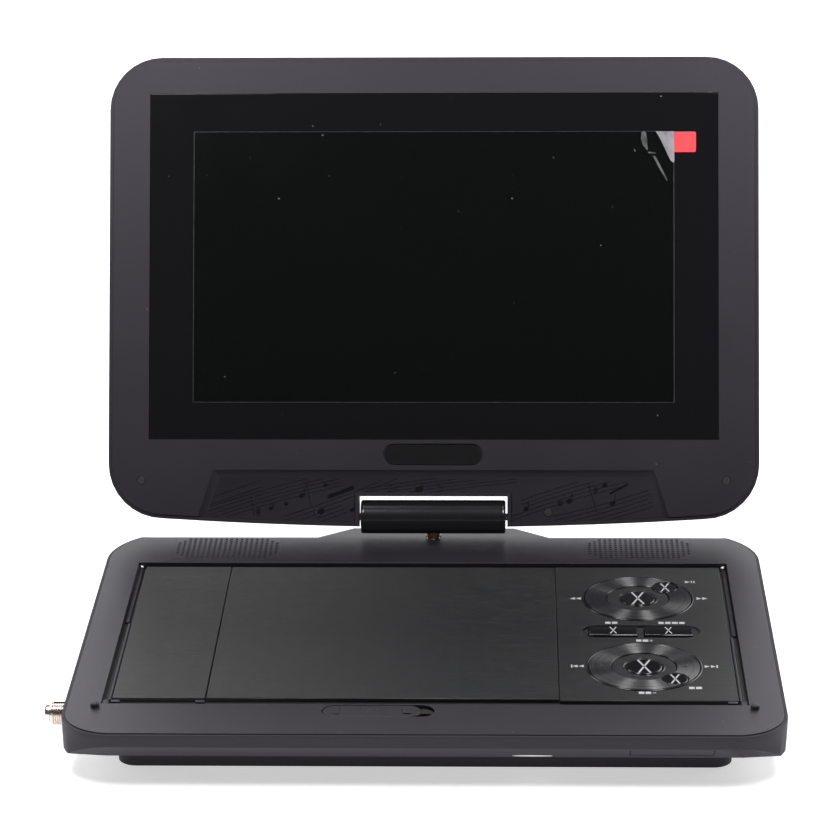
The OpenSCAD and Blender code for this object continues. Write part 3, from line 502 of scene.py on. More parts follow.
def lathe(bm, profile, centre=(0, 0, 0), axis="Z", steps=48):
    """A profile of (radius, height) points turned about an axis."""
    way = {"X": (1, 0, 0), "Y": (0, 1, 0), "Z": (0, 0, 1)}[axis]
    out = {"X": (0, 0, 1), "Y": (1, 0, 0), "Z": (1, 0, 0)}[axis]
    verts = [bm.verts.new(Vector(centre) + Vector(way) * h + Vector(out) * r) for r, h in profile]
    edges = [bm.edges.new(pair) for pair in zip(verts, verts[1:])]
    bmesh.ops.spin(
        bm, geom=verts + edges, cent=centre, axis=way, dvec=(0, 0, 0), angle=math.tau, steps=steps,
        use_merge=True, use_normal_flip=False, use_duplicate=False,
    )


def slab(bm, points, low, high):
    """A flat outline raised from low to high."""
    verts = [bm.verts.new((x, y, low)) for x, y in points]
    face = bm.faces.new(verts)
    made = bmesh.ops.extrude_face_region(bm, geom=[face])["geom"]
    top = [g for g in made if isinstance(g, bmesh.types.BMVert)]
    bmesh.ops.translate(bm, vec=(0, 0, high - low), verts=top)
    return verts + top


def disc(bm, centre, radius, low, high, sides=24, squash=1.0, turn=0.0):
    """A flat disc, or an oval where it is squashed along Y."""
    verts = beside(
        bm, "cone", cap_ends=True, cap_tris=False, segments=sides, radius1=radius, radius2=radius,
        depth=high - low,
    )
    mid = (centre[0], centre[1], (low + high) / 2)
    return move(bm, verts, scale=(1, squash, 1), turn=(turn, "Z"), shift=mid)


def stroke(bm, start, end, width, low, high):
    """A straight flat bar between two points."""
    run = Vector(end) - Vector(start)
    verts = move(
        bm, beside(bm, "cube", size=1), scale=(run.length, width, high - low),
        turn=(math.atan2(run.y, run.x), "Z"),
    )
    mid = (Vector(start) + Vector(end)) / 2
    return move(bm, verts, shift=(mid.x, mid.y, (low + high) / 2))


def arrow(bm, centre, size, low, high, facing=1):
    """A flat triangle that points along X."""
    return disc(bm, centre, size, low, high, 3, turn=math.radians(-90 * facing))


def cross(bm, centre, length, width, low, high, spread=21):
    """Two crossed strokes, longer along Y."""
    for side in (-1, 1):
        lean = math.radians(90 + side * spread)
        reach = Vector((math.cos(lean), math.sin(lean))) * length / 2
        stroke(bm, Vector(centre) - reach, Vector(centre) + reach, width, low, high)


def bead(bm, centre, radius, half, low, high, steps=64):
    """A half-round bead that runs in a circle."""
    turns = [math.pi * k / 6 for k in range(7)]
    rise = [(radius + half * math.cos(a), low + (high - low) * math.sin(a)) for a in turns]
    outer, inner = (radius + half, low - 0.3), (radius - half, low - 0.3)
    lathe(bm, [outer, *rise, inner, outer], centre, "Z", steps)


def dome(bm, centre, radius, height, sink, sides=20):
    """A round-topped stud that starts sink below its centre."""
    curve = [
        (radius * math.cos(math.radians(a)), height * math.sin(math.radians(a)))
        for a in range(0, 90, 15)
    ]
    lathe(bm, [(0, -sink), (radius, -sink), *curve, (0, height)], centre, "Z", sides)


def flatten(bm, height):
    """Presses everything over a height down to it."""
    for v in bm.verts:
        v.co.z = min(v.co.z, height)


def finish_piece(bm, name, place, look, body, nodes=(), sharp=40, fix=True, second=None):
    """second is another look and the test that a face passes to get it.
    """
    bmesh.ops.remove_doubles(bm, verts=bm.verts, dist=MM / 1000 if place is None else 1e-4)
    if place is not None:
        bmesh.ops.transform(bm, matrix=place, verts=bm.verts)
    if fix:
        bmesh.ops.recalc_face_normals(bm, faces=bm.faces)
    if second:
        for face in bm.faces:
            face.material_index = 1 if second[1](face) else 0
    mesh = bpy.data.meshes.new(name)
    bm.to_mesh(mesh)
    bm.free()
    mesh.shade_smooth()
    mesh.set_sharp_from_angle(angle=math.radians(sharp))
    mesh.materials.append(finishes[look])
    if second:
        mesh.materials.append(finishes[second[0]])
    made = bpy.data.objects.new(name, mesh)
    bpy.context.scene.collection.objects.link(made)
    weighted = made.modifiers.new("even_shading", "WEIGHTED_NORMAL")
    weighted.keep_sharp = True
    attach(made, body)
    if nodes:
        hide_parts(*nodes)


def refined(node, look, edge, segments=2, where=None, place=BASE, second=None):
    """A copy of a frame node with merged faces and rounded edges.

    where picks the edges to round by their middle.
    """
    bm = bmesh.new()
    bm.from_mesh(frame["nodes"][node].data)
    bmesh.ops.remove_doubles(bm, verts=bm.verts, dist=2e-6)
    bmesh.ops.dissolve_limit(
        bm, angle_limit=math.radians(0.4), use_dissolve_boundaries=False, verts=bm.verts,
        edges=bm.edges, delimit={"NORMAL"},
    )
    back = place.inverted()
    picked = []
    for e in bm.edges:
        if not e.is_manifold or e.calc_face_angle(0) < SHARP:
            continue
        mid = back @ ((e.verts[0].co + e.verts[1].co) / 2)
        if where is None or where(mid):
            picked.append(e)
    round_edges(bm, picked, edge * MM, segments)
    body = frame["nodes"][node]["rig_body"]
    finish_piece(bm, node + "_detailed", None, look, body, (node,), fix=False, second=second)


def carried(node, look):
    """A frame node whose shape is right: it gets its finish."""
    made = frame["nodes"][node]
    made.data.materials.clear()
    made.data.materials.append(finishes[look])


# ---- operators ----


class PLAYER_OT_finishes(bpy.types.Operator):
    """Mixes every finish"""

    bl_idname = "player.finishes"
    bl_label = "Finishes"

    def execute(self, context):
        mix_finishes()
        return {"FINISHED"}


class PLAYER_OT_base_covers(bpy.types.Operator):
    """Top and bottom covers of the base, with rounded edges"""

    bl_idname = "player.base_covers"
    bl_label = "Base Covers"

    def execute(self, context):
        edge = context.scene.player_sizes.edge
        refined(
            "base_top_cover", "housing", edge, 3, lambda m: m.z > TOP_Z - 1.0,
            # Deck faces below the panels get the painted gutter shade
            second=("shadow_gap", lambda f: (BASE.inverted() @ f.calc_center_median()).z < PANEL_Z - 0.5),
        )
        refined(
            "base_bottom_cover", "under", 0.4, 2,
            lambda m: m.z > TOP_Z - 1.2 or m.z < 10,
        )
        refined("battery_cover", "under", 0.4, 2)
        refined("card_flap", "under", 0.3, 2)
        return {"FINISHED"}


class PLAYER_OT_grilles(bpy.types.Operator):
    """Speaker grilles with round holes, cut through to the cloth"""

    bl_idname = "player.grilles"
    bl_label = "Speaker Grilles"

    def execute(self, context):
        low, high = in_base("speaker_grilles")
        width, depth = 43.0, high.y - low.y
        across, along, pitch = 20, 10, 2.1
        # Where the cover starts to round over at the back, and its radius there
        flat_end, rounding = 90.0, 9.0
        for side, left in (("left", low.x), ("right", high.x - width)):
            bm = bmesh.new()
            bmesh.ops.create_grid(bm, x_segments=across, y_segments=along, size=0.5)
            bmesh.ops.scale(bm, vec=(across * pitch, along * pitch, 1), verts=bm.verts)
            holes = []
            for face in bm.faces:
                spot = face.calc_center_median()
                col, row = round(spot.x / pitch + across / 2 - 0.5), round(spot.y / pitch + along / 2 - 0.5)
                if min(col, across - 1 - col) + min(row, along - 1 - row) > 1:
                    holes.append(face)
            made = bmesh.ops.extrude_edge_only(bm, edges=[e for e in bm.edges if e.is_boundary])["geom"]
            rim_verts = [g for g in made if isinstance(g, bmesh.types.BMVert)]
            bmesh.ops.scale(bm, vec=(width / (across * pitch), depth / (along * pitch), 1), verts=rim_verts)
            edges = list({e for f in holes for e in f.edges})
            bmesh.ops.subdivide_edges(bm, edges=edges, cuts=2)
            bmesh.ops.inset_individual(bm, faces=holes, thickness=0.3, use_even_offset=True)
            for radius, chamfer in ((0.72, True), (0.6, False)):
                for face in holes:
                    spot = face.calc_center_median()
                    for v in face.verts:
                        v.co = spot + (v.co - spot).normalized() * radius
                if chamfer:
                    bmesh.ops.inset_individual(
                        bm, faces=holes, thickness=0.1, depth=-0.12, use_even_offset=True,
                    )
            deep = bmesh.ops.extrude_discrete_faces(bm, faces=holes)["faces"]
            bmesh.ops.translate(bm, vec=(0, 0, -1.3), verts=list({v for f in deep for v in f.verts}))
            floor_z = min(v.co.z for v in bm.verts)
            skirt = bmesh.ops.extrude_edge_only(bm, edges=[e for e in bm.edges if e.is_boundary])["geom"]
            for v in (g for g in skirt if isinstance(g, bmesh.types.BMVert)):
                v.co.z = -1.6
            bmesh.ops.holes_fill(bm, edges=[e for e in bm.edges if e.is_boundary], sides=0)
            bmesh.ops.translate(bm, vec=(left + width / 2, (low.y + high.y) / 2, high.z), verts=bm.verts)
            for v in bm.verts:
                past = v.co.y - flat_end
                if past > 0 and v.co.z > high.z - 1.5:
                    v.co.z -= rounding - math.sqrt(rounding**2 - past**2)
            cloth_top = (BASE @ Vector((0, 0, high.z + floor_z))).z + 0.35 * MM
            finish_piece(
                bm, side + "_grille", BASE, "housing", "base", ("speaker_grilles",), 35,
                second=("cloth", lambda f: f.normal.z > 0.9 and f.calc_center_median().z < cloth_top),
            )
        return {"FINISHED"}


class PLAYER_OT_panels(bpy.types.Operator):
    """Brushed panels, the disc door and the strips in the gutters beside them"""

    bl_idname = "player.panels"
    bl_label = "Panels"

    def execute(self, context):
        edge = context.scene.player_sizes.panel_edge
        refined("left_trim_panel", "panel", edge, 2)
        refined("disc_door", "panel", edge, 2, lambda m: m.z > PANEL_Z - 0.1)
        refined("control_panel", "panel", edge, 2, lambda m: m.z > PANEL_Z - 0.1)

        gutter = PANEL_Z - 1.6
        left, right = TRIM_LOW.x, CONTROL_HIGH.x
        front, rear = TRIM_LOW.y, TRIM_HIGH.y
        bm = bmesh.new()
        brick(bm, (left - 1.5, front - 1.0, gutter - 0.1), (left - 0.1, 6.5, PANEL_Z - 0.25), 0.5, 3)
        brick(bm, (left - 2.9, 8.6, gutter - 0.1), (left - 1.0, rear - 1.2, PANEL_Z - 0.7), 0.4, 3)
        brick(bm, (right + 0.1, front - 1.0, gutter - 0.1), (right + 1.5, -5.6, PANEL_Z - 0.25), 0.5, 3)
        brick(bm, (right + 1.0, -3.4, gutter - 0.1), (right + 2.9, rear - 1.2, PANEL_Z - 0.7), 0.4, 3)
        finish_piece(bm, "gutter_rails", BASE, "rail", "base")

        bm = bmesh.new()
        clips = ((-115.3, -111.9), (-84.2, -80.6), (110.9, 114.6))
        strips = ((-111.6, -84.4), (108.0, 110.8))
        for x0, x1 in clips:
            brick(bm, (x0, front - 3.4, gutter), (x1, front - 1.5, PANEL_Z - 0.1), 0.35, 2)
        for side, x in ((-1, left - 1.9), (1, right + 1.6)):
            brick(bm, (x - 1.3, front - 7.4, gutter), (x + 1.3, front - 2.6, PANEL_Z + 0.5), 0.5, 3)
        finish_piece(bm, "corner_clips", BASE, "rail", "base")

        bm = bmesh.new()
        for x in (left - 1.9, right + 1.6):
            dome(bm, (x, rear + 0.3, PANEL_Z - 0.5), 1.0, 0.9, 1.0)
        for x0, x1 in strips:
            brick(bm, (x0, front - 2.35, gutter - 1.1), (x1, front - 1.95, gutter - 0.02), 0.1, 1)
        finish_piece(bm, "latch_strips", BASE, "nickel", "base")
        return {"FINISHED"}


class PLAYER_OT_keys(bpy.types.Operator):
    """Nav rings, round keys and bar keys, with the beads round them"""

    bl_idname = "player.keys"
    bl_label = "Keys"

    def execute(self, context):
        rims = bmesh.new()
        for where in ("upper", "lower"):
            refined("nav_ring_" + where, "ring_" + where, 0.35, 2, lambda m: m.z > PANEL_Z)
            refined("centre_key_" + where, "key", 0.7, 3, lambda m: m.z > PANEL_Z)
            refined("small_key_" + where, "key", 0.6, 3, lambda m: m.z > PANEL_Z)
            ring = BASE.inverted() @ middle("nav_ring_" + where)
            bead(rims, (ring.x, ring.y, 0), 21.5, 0.45, PANEL_Z, PANEL_Z + 0.4)
            bead(rims, (ring.x, ring.y, 0), 11.5, 0.4, PANEL_Z - 0.8, PANEL_Z - 0.45)
            bead(rims, (ring.x, ring.y, 0), 7.75, 0.45, PANEL_Z - 0.8, PANEL_Z + 0.1)
        finish_piece(rims, "key_rims", BASE, "key", "base")
        for side in ("left", "right"):
            refined("bar_key_" + side, "key", 0.5, 2, lambda m: m.z > PANEL_Z)

        ring = BASE.inverted() @ middle("nav_ring_lower")
        bm = bmesh.new()
        for x in (-16.2, 15.6):
            dome(bm, (ring.x + x, ring.y + 0.5, PANEL_Z + 0.4), 0.7, 0.35, 0.1, 16)
        finish_piece(bm, "touch_dots", BASE, "key", "nav_ring_lower")
        return {"FINISHED"}


class PLAYER_OT_marks(bpy.types.Operator):
    """White printed marks on the keys and beside them"""

    bl_idname = "player.marks"
    bl_label = "Printed Marks"

    def execute(self, context):
        crosses = (
            ("centre_key_upper", 12.4, 0.72), ("centre_key_lower", 12.4, 0.72),
            ("small_key_upper", 8.6, 0.6), ("small_key_lower", 8.6, 0.6),
            ("bar_key_left", 6.6, 0.45), ("bar_key_right", 6.6, 0.45),
        )
        for key, length, width in crosses:
            low, high = in_base(key)
            spot = (low + high) / 2
            bm = bmesh.new()
            cross(bm, (spot.x, spot.y), length, width, high.z - 0.02, high.z + INK)
            finish_piece(bm, key + "_mark", BASE, "marks", key)

        bm = bmesh.new()
        z0, z1 = PANEL_Z - 0.01, PANEL_Z + INK
        upper = BASE.inverted() @ middle("nav_ring_upper")
        lower = BASE.inverted() @ middle("nav_ring_lower")

        def at(ring, x, y):
            return ring.x + x, ring.y + y

        def bars(spot, widths, height=2.0, gap=0.5):
            x = spot[0] - (sum(widths) + gap * (len(widths) - 1)) / 2
            for w in widths:
                stroke(bm, (x, spot[1]), (x + w, spot[1]), height, z0, z1)
                x += w + gap

        for x in (-25.3, -23.0):
            arrow(bm, at(upper, x, 0.2), 1.4, z0, z1, -1)
            arrow(bm, at(lower, x - 0.2, 0.7), 1.3, z0, z1, -1)
        for x in (23.7, 26.0):
            arrow(bm, at(upper, x, 0.4), 1.4, z0, z1)
            arrow(bm, at(lower, x - 0.4, 0.6), 1.3, z0, z1)
        for x, y in ((-27.1, 0.7), (27.3, 0.6)):
            spot = at(lower, x, y)
            stroke(bm, (spot[0], spot[1] - 1.4), (spot[0], spot[1] + 1.4), 0.5, z0, z1)
        arrow(bm, at(upper, 20.0, 17.2), 1.35, z0, z1)
        for x in (21.9, 22.9):
            spot = at(upper, x, 17.2)
            stroke(bm, (spot[0], spot[1] - 1.1), (spot[0], spot[1] + 1.1), 0.45, z0, z1)
        bars(at(upper, -11.1, -23.7), (2.1, 2.1))
        bars(at(upper, 12.1, -23.7), (2.1, 2.1, 2.3, 2.1))
        bars(at(lower, 0.2, 24.5), (2.0, 2.1))
        bars(at(lower, -0.6, -23.1), (2.0, 2.0))
        bars(at(lower, 18.2, -18.7), (2.1, 2.2))
        for x, y, both in ((3.6, 24.5, True), (2.9, -23.1, False)):
            spot = at(lower, x, y)
            stroke(bm, (spot[0] - 0.6, spot[1]), (spot[0] + 0.6, spot[1]), 0.45, z0, z1)
            if both:
                stroke(bm, (spot[0], spot[1] - 1.0), (spot[0], spot[1] + 1.0), 0.35, z0, z1)
        finish_piece(bm, "panel_marks", BASE, "marks", "base")
        return {"FINISHED"}


class PLAYER_OT_latch(bpy.types.Operator):
    """Door slider with its end pad, grip ridge and ribs"""

    bl_idname = "player.latch"
    bl_label = "Latch"

    def execute(self, context):
        refined("open_slider", "housing", 0.35, 2, lambda m: m.z > TOP_Z - 0.5)
        low, high = in_base("open_slider")
        mid = (BASE.inverted() @ middle("open_slider")).y + 0.3
        bm = bmesh.new()
        brick(bm, (high.x - 6.4, mid - 2.6, high.z - 0.2), (high.x - 3.6, mid + 2.2, high.z + 0.55), 0.45, 3)
        brick(bm, (low.x + 5.4, mid - 3.0, high.z - 0.2), (low.x + 8.0, mid + 3.0, high.z + 0.3), 0.3, 2)
        for x in (0, 1.6, 3.2, 4.8):
            brick(
                bm, (low.x + 16.6 + x, mid - 2.4, high.z - 0.2),
                (low.x + 17.2 + x, mid + 2.4, high.z + 0.15), 0.12, 1,
            )
        finish_piece(bm, "slider_grip", BASE, "housing", "open_slider")
        return {"FINISHED"}


class PLAYER_OT_connector(bpy.types.Operator):
    """Aerial connector: a helical thread with a flat on top, and a smooth end collar"""

    bl_idname = "player.connector"
    bl_label = "Aerial Connector"

    def execute(self, context):
        pitch = context.scene.player_sizes.thread_pitch
        low, high = in_base("rf_connector")
        y, z = (low.y + high.y) / 2, (low.z + high.z) / 2
        major = (high.z - low.z) / 2
        minor = major - 0.55
        collar = low.x + 2.1
        wall = -COVER_HIGH.x - 1.3
        bm = bmesh.new()
        steps, turns = 28, 8
        start = collar + 0.25
        tooth = ((0, minor), (pitch * 0.4, major), (pitch * 0.6, major), (pitch, minor))
        verts = [bm.verts.new((start + x, y, z + r)) for x, r in tooth]
        edges = [bm.edges.new(pair) for pair in zip(verts, verts[1:])]
        bmesh.ops.spin(
            bm, geom=verts + edges, cent=(start, y, z), axis=(1, 0, 0), dvec=(pitch / steps, 0, 0),
            angle=math.tau * turns, steps=steps * turns, use_merge=False, use_normal_flip=False,
            use_duplicate=False,
        )
        flatten(bm, z + major * 0.84)
        bmesh.ops.remove_doubles(bm, verts=bm.verts, dist=1e-3)
        lathe(bm, [(0, wall + 2), (minor, wall + 2), (minor, collar), (0, collar)], (0, y, z), "X", 32)
        bore, end = 1.1, low.x
        nose = [(1.4, end), (2.9, end), (3.35, end + 0.15), (3.56, end + 0.6)]
        back = [(3.56, collar - 0.3), (3.2, collar), (2.6, collar + 0.3), (bore, end + 5)]
        lathe(bm, [(bore, end + 5), (bore, end + 0.3), *nose, *back], (0, y, z), "X", 40)
        flatten(bm, z + major * 0.84)
        finish_piece(bm, "aerial_connector", BASE, "nickel", "base", ("rf_connector",), 32)
        return {"FINISHED"}


class PLAYER_OT_small_parts(bpy.types.Operator):
    """Bumpers, feet, screws, sockets and the blank sticker"""

    bl_idname = "player.small_parts"
    bl_label = "Small Parts"

    def execute(self, context):
        low, high = in_base("base_bumpers")
        bm = bmesh.new()
        for side in (-1, 1):
            x = side * (high.x - 1.48)
            crown = [(1.62, high.z - 0.75), (1.45, high.z - 0.3), (1.0, high.z - 0.06), (0, high.z)]
            lathe(bm, [(0, TOP_Z - 0.4), (1.62, TOP_Z - 0.4), *crown], (x, (low.y + high.y) / 2, 0), "Z", 28)
        finish_piece(bm, "bumper_studs", BASE, "plug", "base", ("base_bumpers",))
        refined("rubber_feet", "plug", 0.3, 2)
        refined("base_screws", "steel", 0.25, 2, lambda m: m.z < 11)
        refined("side_jacks", "jack", 0.12, 1)
        refined("usb_port", "bright", 0.12, 1)
        refined("power_switch", "jack", 0.15, 1)

        # The sticker lies on the slanted front face of the bottom cover
        slant = Matrix.Translation((39.4, -87.7, 9.65)) @ Matrix.Rotation(math.radians(180 - 37.2), 4, "X")
        bm = bmesh.new()
        disc(bm, (0, 0), 7.2, -0.02, 0.12, 40, squash=0.13)
        finish_piece(bm, "blank_sticker", BASE @ slant, "sticker", "base")
        return {"FINISHED"}


class PLAYER_OT_lid(bpy.types.Operator):
    """Bezel, rear cover, glass, badge plate and screw plugs of the lid"""

    bl_idname = "player.lid"
    bl_label = "Lid"

    def execute(self, context):
        back = LID.inverted()
        refined(
            "lid_front_bezel", "housing", 0.5, 3, lambda m: m.z > FACE - 0.9, LID,
            second=("chin", lambda f: abs((back @ f.calc_center_median()).z - CHIN) < 0.05),
        )
        refined("lid_rear_cover", "housing", 0.5, 3, None, LID)
        refined("screen_lens", "lens", 0.25, 2, None, LID)
        refined("lid_screw_plugs", "plug", 0.2, 2, None, LID)

        bm = bmesh.new()
        half, radius, height = 15.6, 4.1, 25.3
        turns = [math.radians(-90 + 15 * k) for k in range(13)]
        outline = [(half + radius * math.cos(a), radius * math.sin(a)) for a in turns]
        outline = [(x, height + y) for x, y in outline] + [(-x, height - y) for x, y in outline]
        slab(bm, outline, FACE - 0.85, FACE - 0.35)
        finish_piece(bm, "badge_plate", LID, "badge", "lid")
        return {"FINISHED"}


class PLAYER_OT_score(bpy.types.Operator):
    """Shallow relief of staff lines and notes on the chin of the lid"""

    bl_idname = "player.score"
    bl_label = "Chin Relief"

    def execute(self, context):
        bm = bmesh.new()
        z0, z1 = CHIN - 0.02, CHIN + 0.1

        def staff(start, end, lines=5, gap=1.5, sag=0.0):
            run = Vector(end) - Vector(start)
            across = Vector((-run.y, run.x)).normalized()
            for k in range(lines):
                shift = across * gap * (k - (lines - 1) / 2)
                points = []
                for n in range(9):
                    t = n / 8
                    points.append(Vector(start) + run * t + shift + across * sag * 4 * t * (1 - t))
                for a, b in zip(points, points[1:]):
                    if keep(a) and keep(b):
                        stroke(bm, a, b, 0.17, z0, z1)

        def keep(p):
            edge = 102.5 - 4.2 - (p.y + 1) * 0.66
            low = -0.6 - 3.2 * (1 - (min(abs(p.x), 105) / 105) ** 2)
            return abs(p.x) < edge and low + 0.3 < p.y < 15.8 and not (abs(p.x) < 31.2 and p.y < 9.3)

        def note(x, y, size, stem):
            disc(bm, (x, y), size, z0, z1 + 0.04, 18, 0.72, 0.4)
            if stem:
                stroke(bm, (x + size * 0.8, y), (x + size * 0.8, y + stem), 0.3, z0, z1)

        def sharp(x, y, size=1.5):
            for d in (-0.45, 0.45):
                stroke(bm, (x + d, y - size), (x + d, y + size), 0.24, z0, z1 + 0.03)
                stroke(bm, (x - size * 0.7, y + d - 0.2), (x + size * 0.7, y + d + 0.2), 0.3, z0, z1 + 0.03)

        staff((-92, 0.5), (-38, 15.5), sag=0.8)
        staff((-60, -3.2), (-14, 14.0), gap=1.7, sag=-0.6)
        staff((-30, 8.2), (34, 16.8), gap=1.35, sag=0.6)
        staff((31, 1.4), (78, 15.8), gap=1.6, sag=0.9)
        staff((50, -3.0), (94, 9.5), gap=1.7, sag=-0.8)
        staff((-96, 4.5), (-70, 13.5), lines=2, gap=2.6)
        notes = (
            (-53.6, 8.6, 1.3, 3.4), (-44.0, 12.8, 0.9, 0), (-66.2, 3.4, 1.0, 2.6), (-60.0, 5.2, 0.9, 0),
            (-45.9, 2.2, 1.5, 0), (-5.7, 11.1, 1.7, 2.4), (55.6, 6.5, 1.3, 3.0), (69.9, 12.8, 1.2, 0),
            (73.2, 5.5, 1.2, 3.6), (-33.0, 2.8, 1.1, 3.0), (38.0, 3.2, 1.0, 2.8),
        )
        for x, y, size, stem in notes:
            note(x, y, size, stem)
        stroke(bm, (-43.0, 8.0), (-32.3, 12.0), 1.5, z0, z1 + 0.04)
        stroke(bm, (72.0, 9.4), (79.5, 13.4), 0.7, z0, z1 + 0.04)
        for x, y in ((51.8, 5.6), (66.2, 10.8), (-71.5, 2.0)):
            sharp(x, y)
        bar_lines = (
            ((63.4, 13.6), (66.6, 2.0)), ((1.6, 14.4), (4.2, 9.9)),
            ((-52.0, 14.2), (-49.8, 4.0)), ((-74.5, 8.2), (-73.2, 0.2)),
        )
        for top, foot in bar_lines:
            stroke(bm, top, foot, 0.26, z0, z1)
        finish_piece(bm, "chin_relief", LID, "relief", "lid", sharp=30)
        return {"FINISHED"}


class PLAYER_OT_film(bpy.types.Operator):
    """Protective film with its lifted corner, creases and pull tab"""

    bl_idname = "player.film"
    bl_label = "Screen Film"

    def execute(self, context):
        back = LID.inverted()
        low, high = (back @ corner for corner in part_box("screen_film"))
        x0, x1, y0, y1 = low.x, high.x, low.y, high.y
        z0, z1 = FACE, FACE + 0.1
        bm = bmesh.new()
        # The sheet is cut off where its corner lifts
        slab(bm, [(x0, y0), (x1, y0), (x1, y1 - 12.8), (x1 - 7.2, y1), (x0, y1)], z0, z1)
        finish_piece(bm, "film_sheet", LID, "film", "lid", ("screen_film",))

        # The lifted corner, coloured pale grey as a painted reflection
        bm = bmesh.new()
        flap = [(0, -12.9), (0.25, -11.8), (0, -0.1), (-7.4, 0), (-5.4, -3.4), (-2.2, -10.2), (-1.2, -12.2)]
        slab(bm, [(x1 + x, y1 + y) for x, y in flap], z0 + 0.05, z0 + 0.13)
        bmesh.ops.subdivide_edges(bm, edges=bm.edges, cuts=3, use_grid_fill=True)
        for v in bm.verts:
            lift = max(0.0, (v.co.x - (x1 - 7.4)) / 7.4 + (v.co.y - (y1 - 12.9)) / 12.9 - 1)
            v.co.z += 0.9 * lift * lift + 0.12 * lift * math.sin(v.co.y * 2.4)
        finish_piece(bm, "film_corner", LID, "film_corner", "lid")

        # The film's edges, coloured lighter as a painted highlight line
        bm = bmesh.new()
        stroke(bm, (x0, y0), (x1, y0), 0.2, z0, z1 + 0.03)
        stroke(bm, (x0, y0), (x0, y1), 0.22, z0, z1 + 0.03)
        stroke(bm, (x1, y0), (x1, y1 - 13), 0.3, z0, z1 + 0.03)
        stroke(bm, (x0, y1), (x1 - 7.5, y1), 0.16, z0, z1 + 0.03)
        finish_piece(bm, "film_edge_painted_highlight", LID, "film_rim", "lid")

        # Creases, coloured lighter as painted highlights
        bm = bmesh.new()
        for points in (
            [
                (-13.2, -0.4), (-12.2, 0.1), (-11.4, -0.6), (-10.9, -3.0), (-10.7, -8.0), (-12.6, -5.8),
                (-13.5, -3.2),
            ],
            [(-10.6, -8.3), (-7.4, -8.7), (-7.6, -9.2), (-10.2, -9.0)],
            [(-8.6, -10.1), (-7.5, -10.2), (-2.9, -19.2), (-2.6, -20.4), (-3.3, -19.8), (-6.8, -13.6)],
            [(-16.4, -7.2), (-15.7, -7.6), (-15.5, -8.6), (-16.2, -8.0)],
        ):
            slab(bm, [(x1 + x, y1 + y) for x, y in points], z0 + 0.08, z0 + 0.14)
        finish_piece(bm, "film_creases", LID, "streak", "lid")

        low, high = (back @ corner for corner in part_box("film_pull_tab"))
        left, right, foot, top = low.x, high.x, low.y, low.y + 8.4
        bm = bmesh.new()
        lower = [(left, foot), (right - 0.6, foot), (right - 0.15, foot + 0.15), (right, foot + 0.6)]
        upper = [(right, top - 0.6), (right - 0.15, top - 0.15), (right - 0.6, top), (left, top)]
        slab(bm, lower + upper, z0 + 0.02, z0 + 0.2)
        bmesh.ops.subdivide_edges(bm, edges=bm.edges, cuts=4, use_grid_fill=True)
        for v in bm.verts:
            reach = (v.co.x - left) / (right - left)
            v.co.z += 0.1 * math.sin(reach * 5.2) * math.sin((v.co.y - foot) * 0.5)
        finish_piece(bm, "pull_tab", LID, "tab", "lid", ("film_pull_tab",))
        return {"FINISHED"}


class PLAYER_OT_hinge(bpy.types.Operator):
    """Hinge barrel with its end caps, and the turned post under it"""

    bl_idname = "player.hinge"
    bl_label = "Hinge"

    def execute(self, context):
        low, high = in_base("hinge_cover_front")
        rear = in_base("hinge_cover_rear")[1]
        y, z, r = (low.y + rear.y) / 2, (low.z + high.z) / 2, (high.z - low.z) / 2
        half = (high.x - low.x) / 2
        centre = (low.x + high.x) / 2
        cap = [(0, half), (r - 0.9, half), (r - 0.3, half - 0.2), (r, half - 0.8)]
        groove = [(r, half - 1.4), (r - 0.14, half - 1.45), (r - 0.14, half - 1.65), (r, half - 1.7)]
        side = cap + groove
        bm = bmesh.new()
        lathe(bm, [(a, -h) for a, h in side] + [(a, h) for a, h in reversed(side)], (centre, y, z), "X", 72)
        finish_piece(
            bm, "hinge_barrel", BASE, "barrel", "hinge",
            ("hinge_cover_front", "hinge_cover_rear"), 30,
        )

        low, high = in_base("swivel_post")
        x, y, r = (low.x + high.x) / 2, (low.y + high.y) / 2, (high.x - low.x) / 2
        neck, lip = r - 0.3, r - 0.2
        rings = [(r, -0.4), (neck, -0.1), (neck, 0.3), (r, 0.6), (r, 1.1), (lip, 1.3), (r, 1.5)]
        rings = [(radius, TOP_Z + height) for radius, height in rings]
        bm = bmesh.new()
        lathe(bm, [(0, low.z), (r, low.z), *rings, (r, high.z - 0.3), (0, high.z - 0.3)], (x, y, 0), "Z", 40)
        finish_piece(bm, "turned_post", BASE, "copper", "hinge", ("swivel_post",), 30)
        return {"FINISHED"}


class PLAYER_OT_carried(bpy.types.Operator):
    """Gives the remaining nodes their finishes"""

    bl_idname = "player.carried"
    bl_label = "Other Parts"

    def execute(self, context):
        looks = {
            "cell": ["lcd_panel"], "backlight": ["lcd_backlight"],
            "board": ["lcd_board", "key_board", "main_board"],
            "steel": [
                "lid_screws", "hinge_leaves", "hinge_core", "swivel_stop_plate", "swivel_bracket",
                "drive_chassis", "tuner_can", "latch_spring",
            ],
            "bright": ["tilt_shafts", "guide_rods", "lead_screw", "sled_motor", "spindle_motor"],
            "bronze": ["friction_bushes"], "battery": ["battery_pack"], "mat": ["key_mat"],
            "well": ["disc_well", "spindle_hub", "pickup_sled"],
            "damper": ["drive_dampers"], "optic": ["pickup_lens"], "cloth": ["speakers"],
        }
        for look, nodes in looks.items():
            for node in nodes:
                carried(node, look)
        return {"FINISHED"}


def softbox(name, place, aim, size, power):
    """A rectangular soft light that faces its aim."""
    lamp = bpy.data.lights.new(name, "AREA")
    lamp.shape = "RECTANGLE"
    lamp.size, lamp.size_y = size
    lamp.energy = power
    made = bpy.data.objects.new(name, lamp)
    made.location = place
    made.rotation_euler = (Vector(aim) - Vector(place)).to_track_quat("-Z", "Y").to_euler()
    bpy.context.scene.collection.objects.link(made)


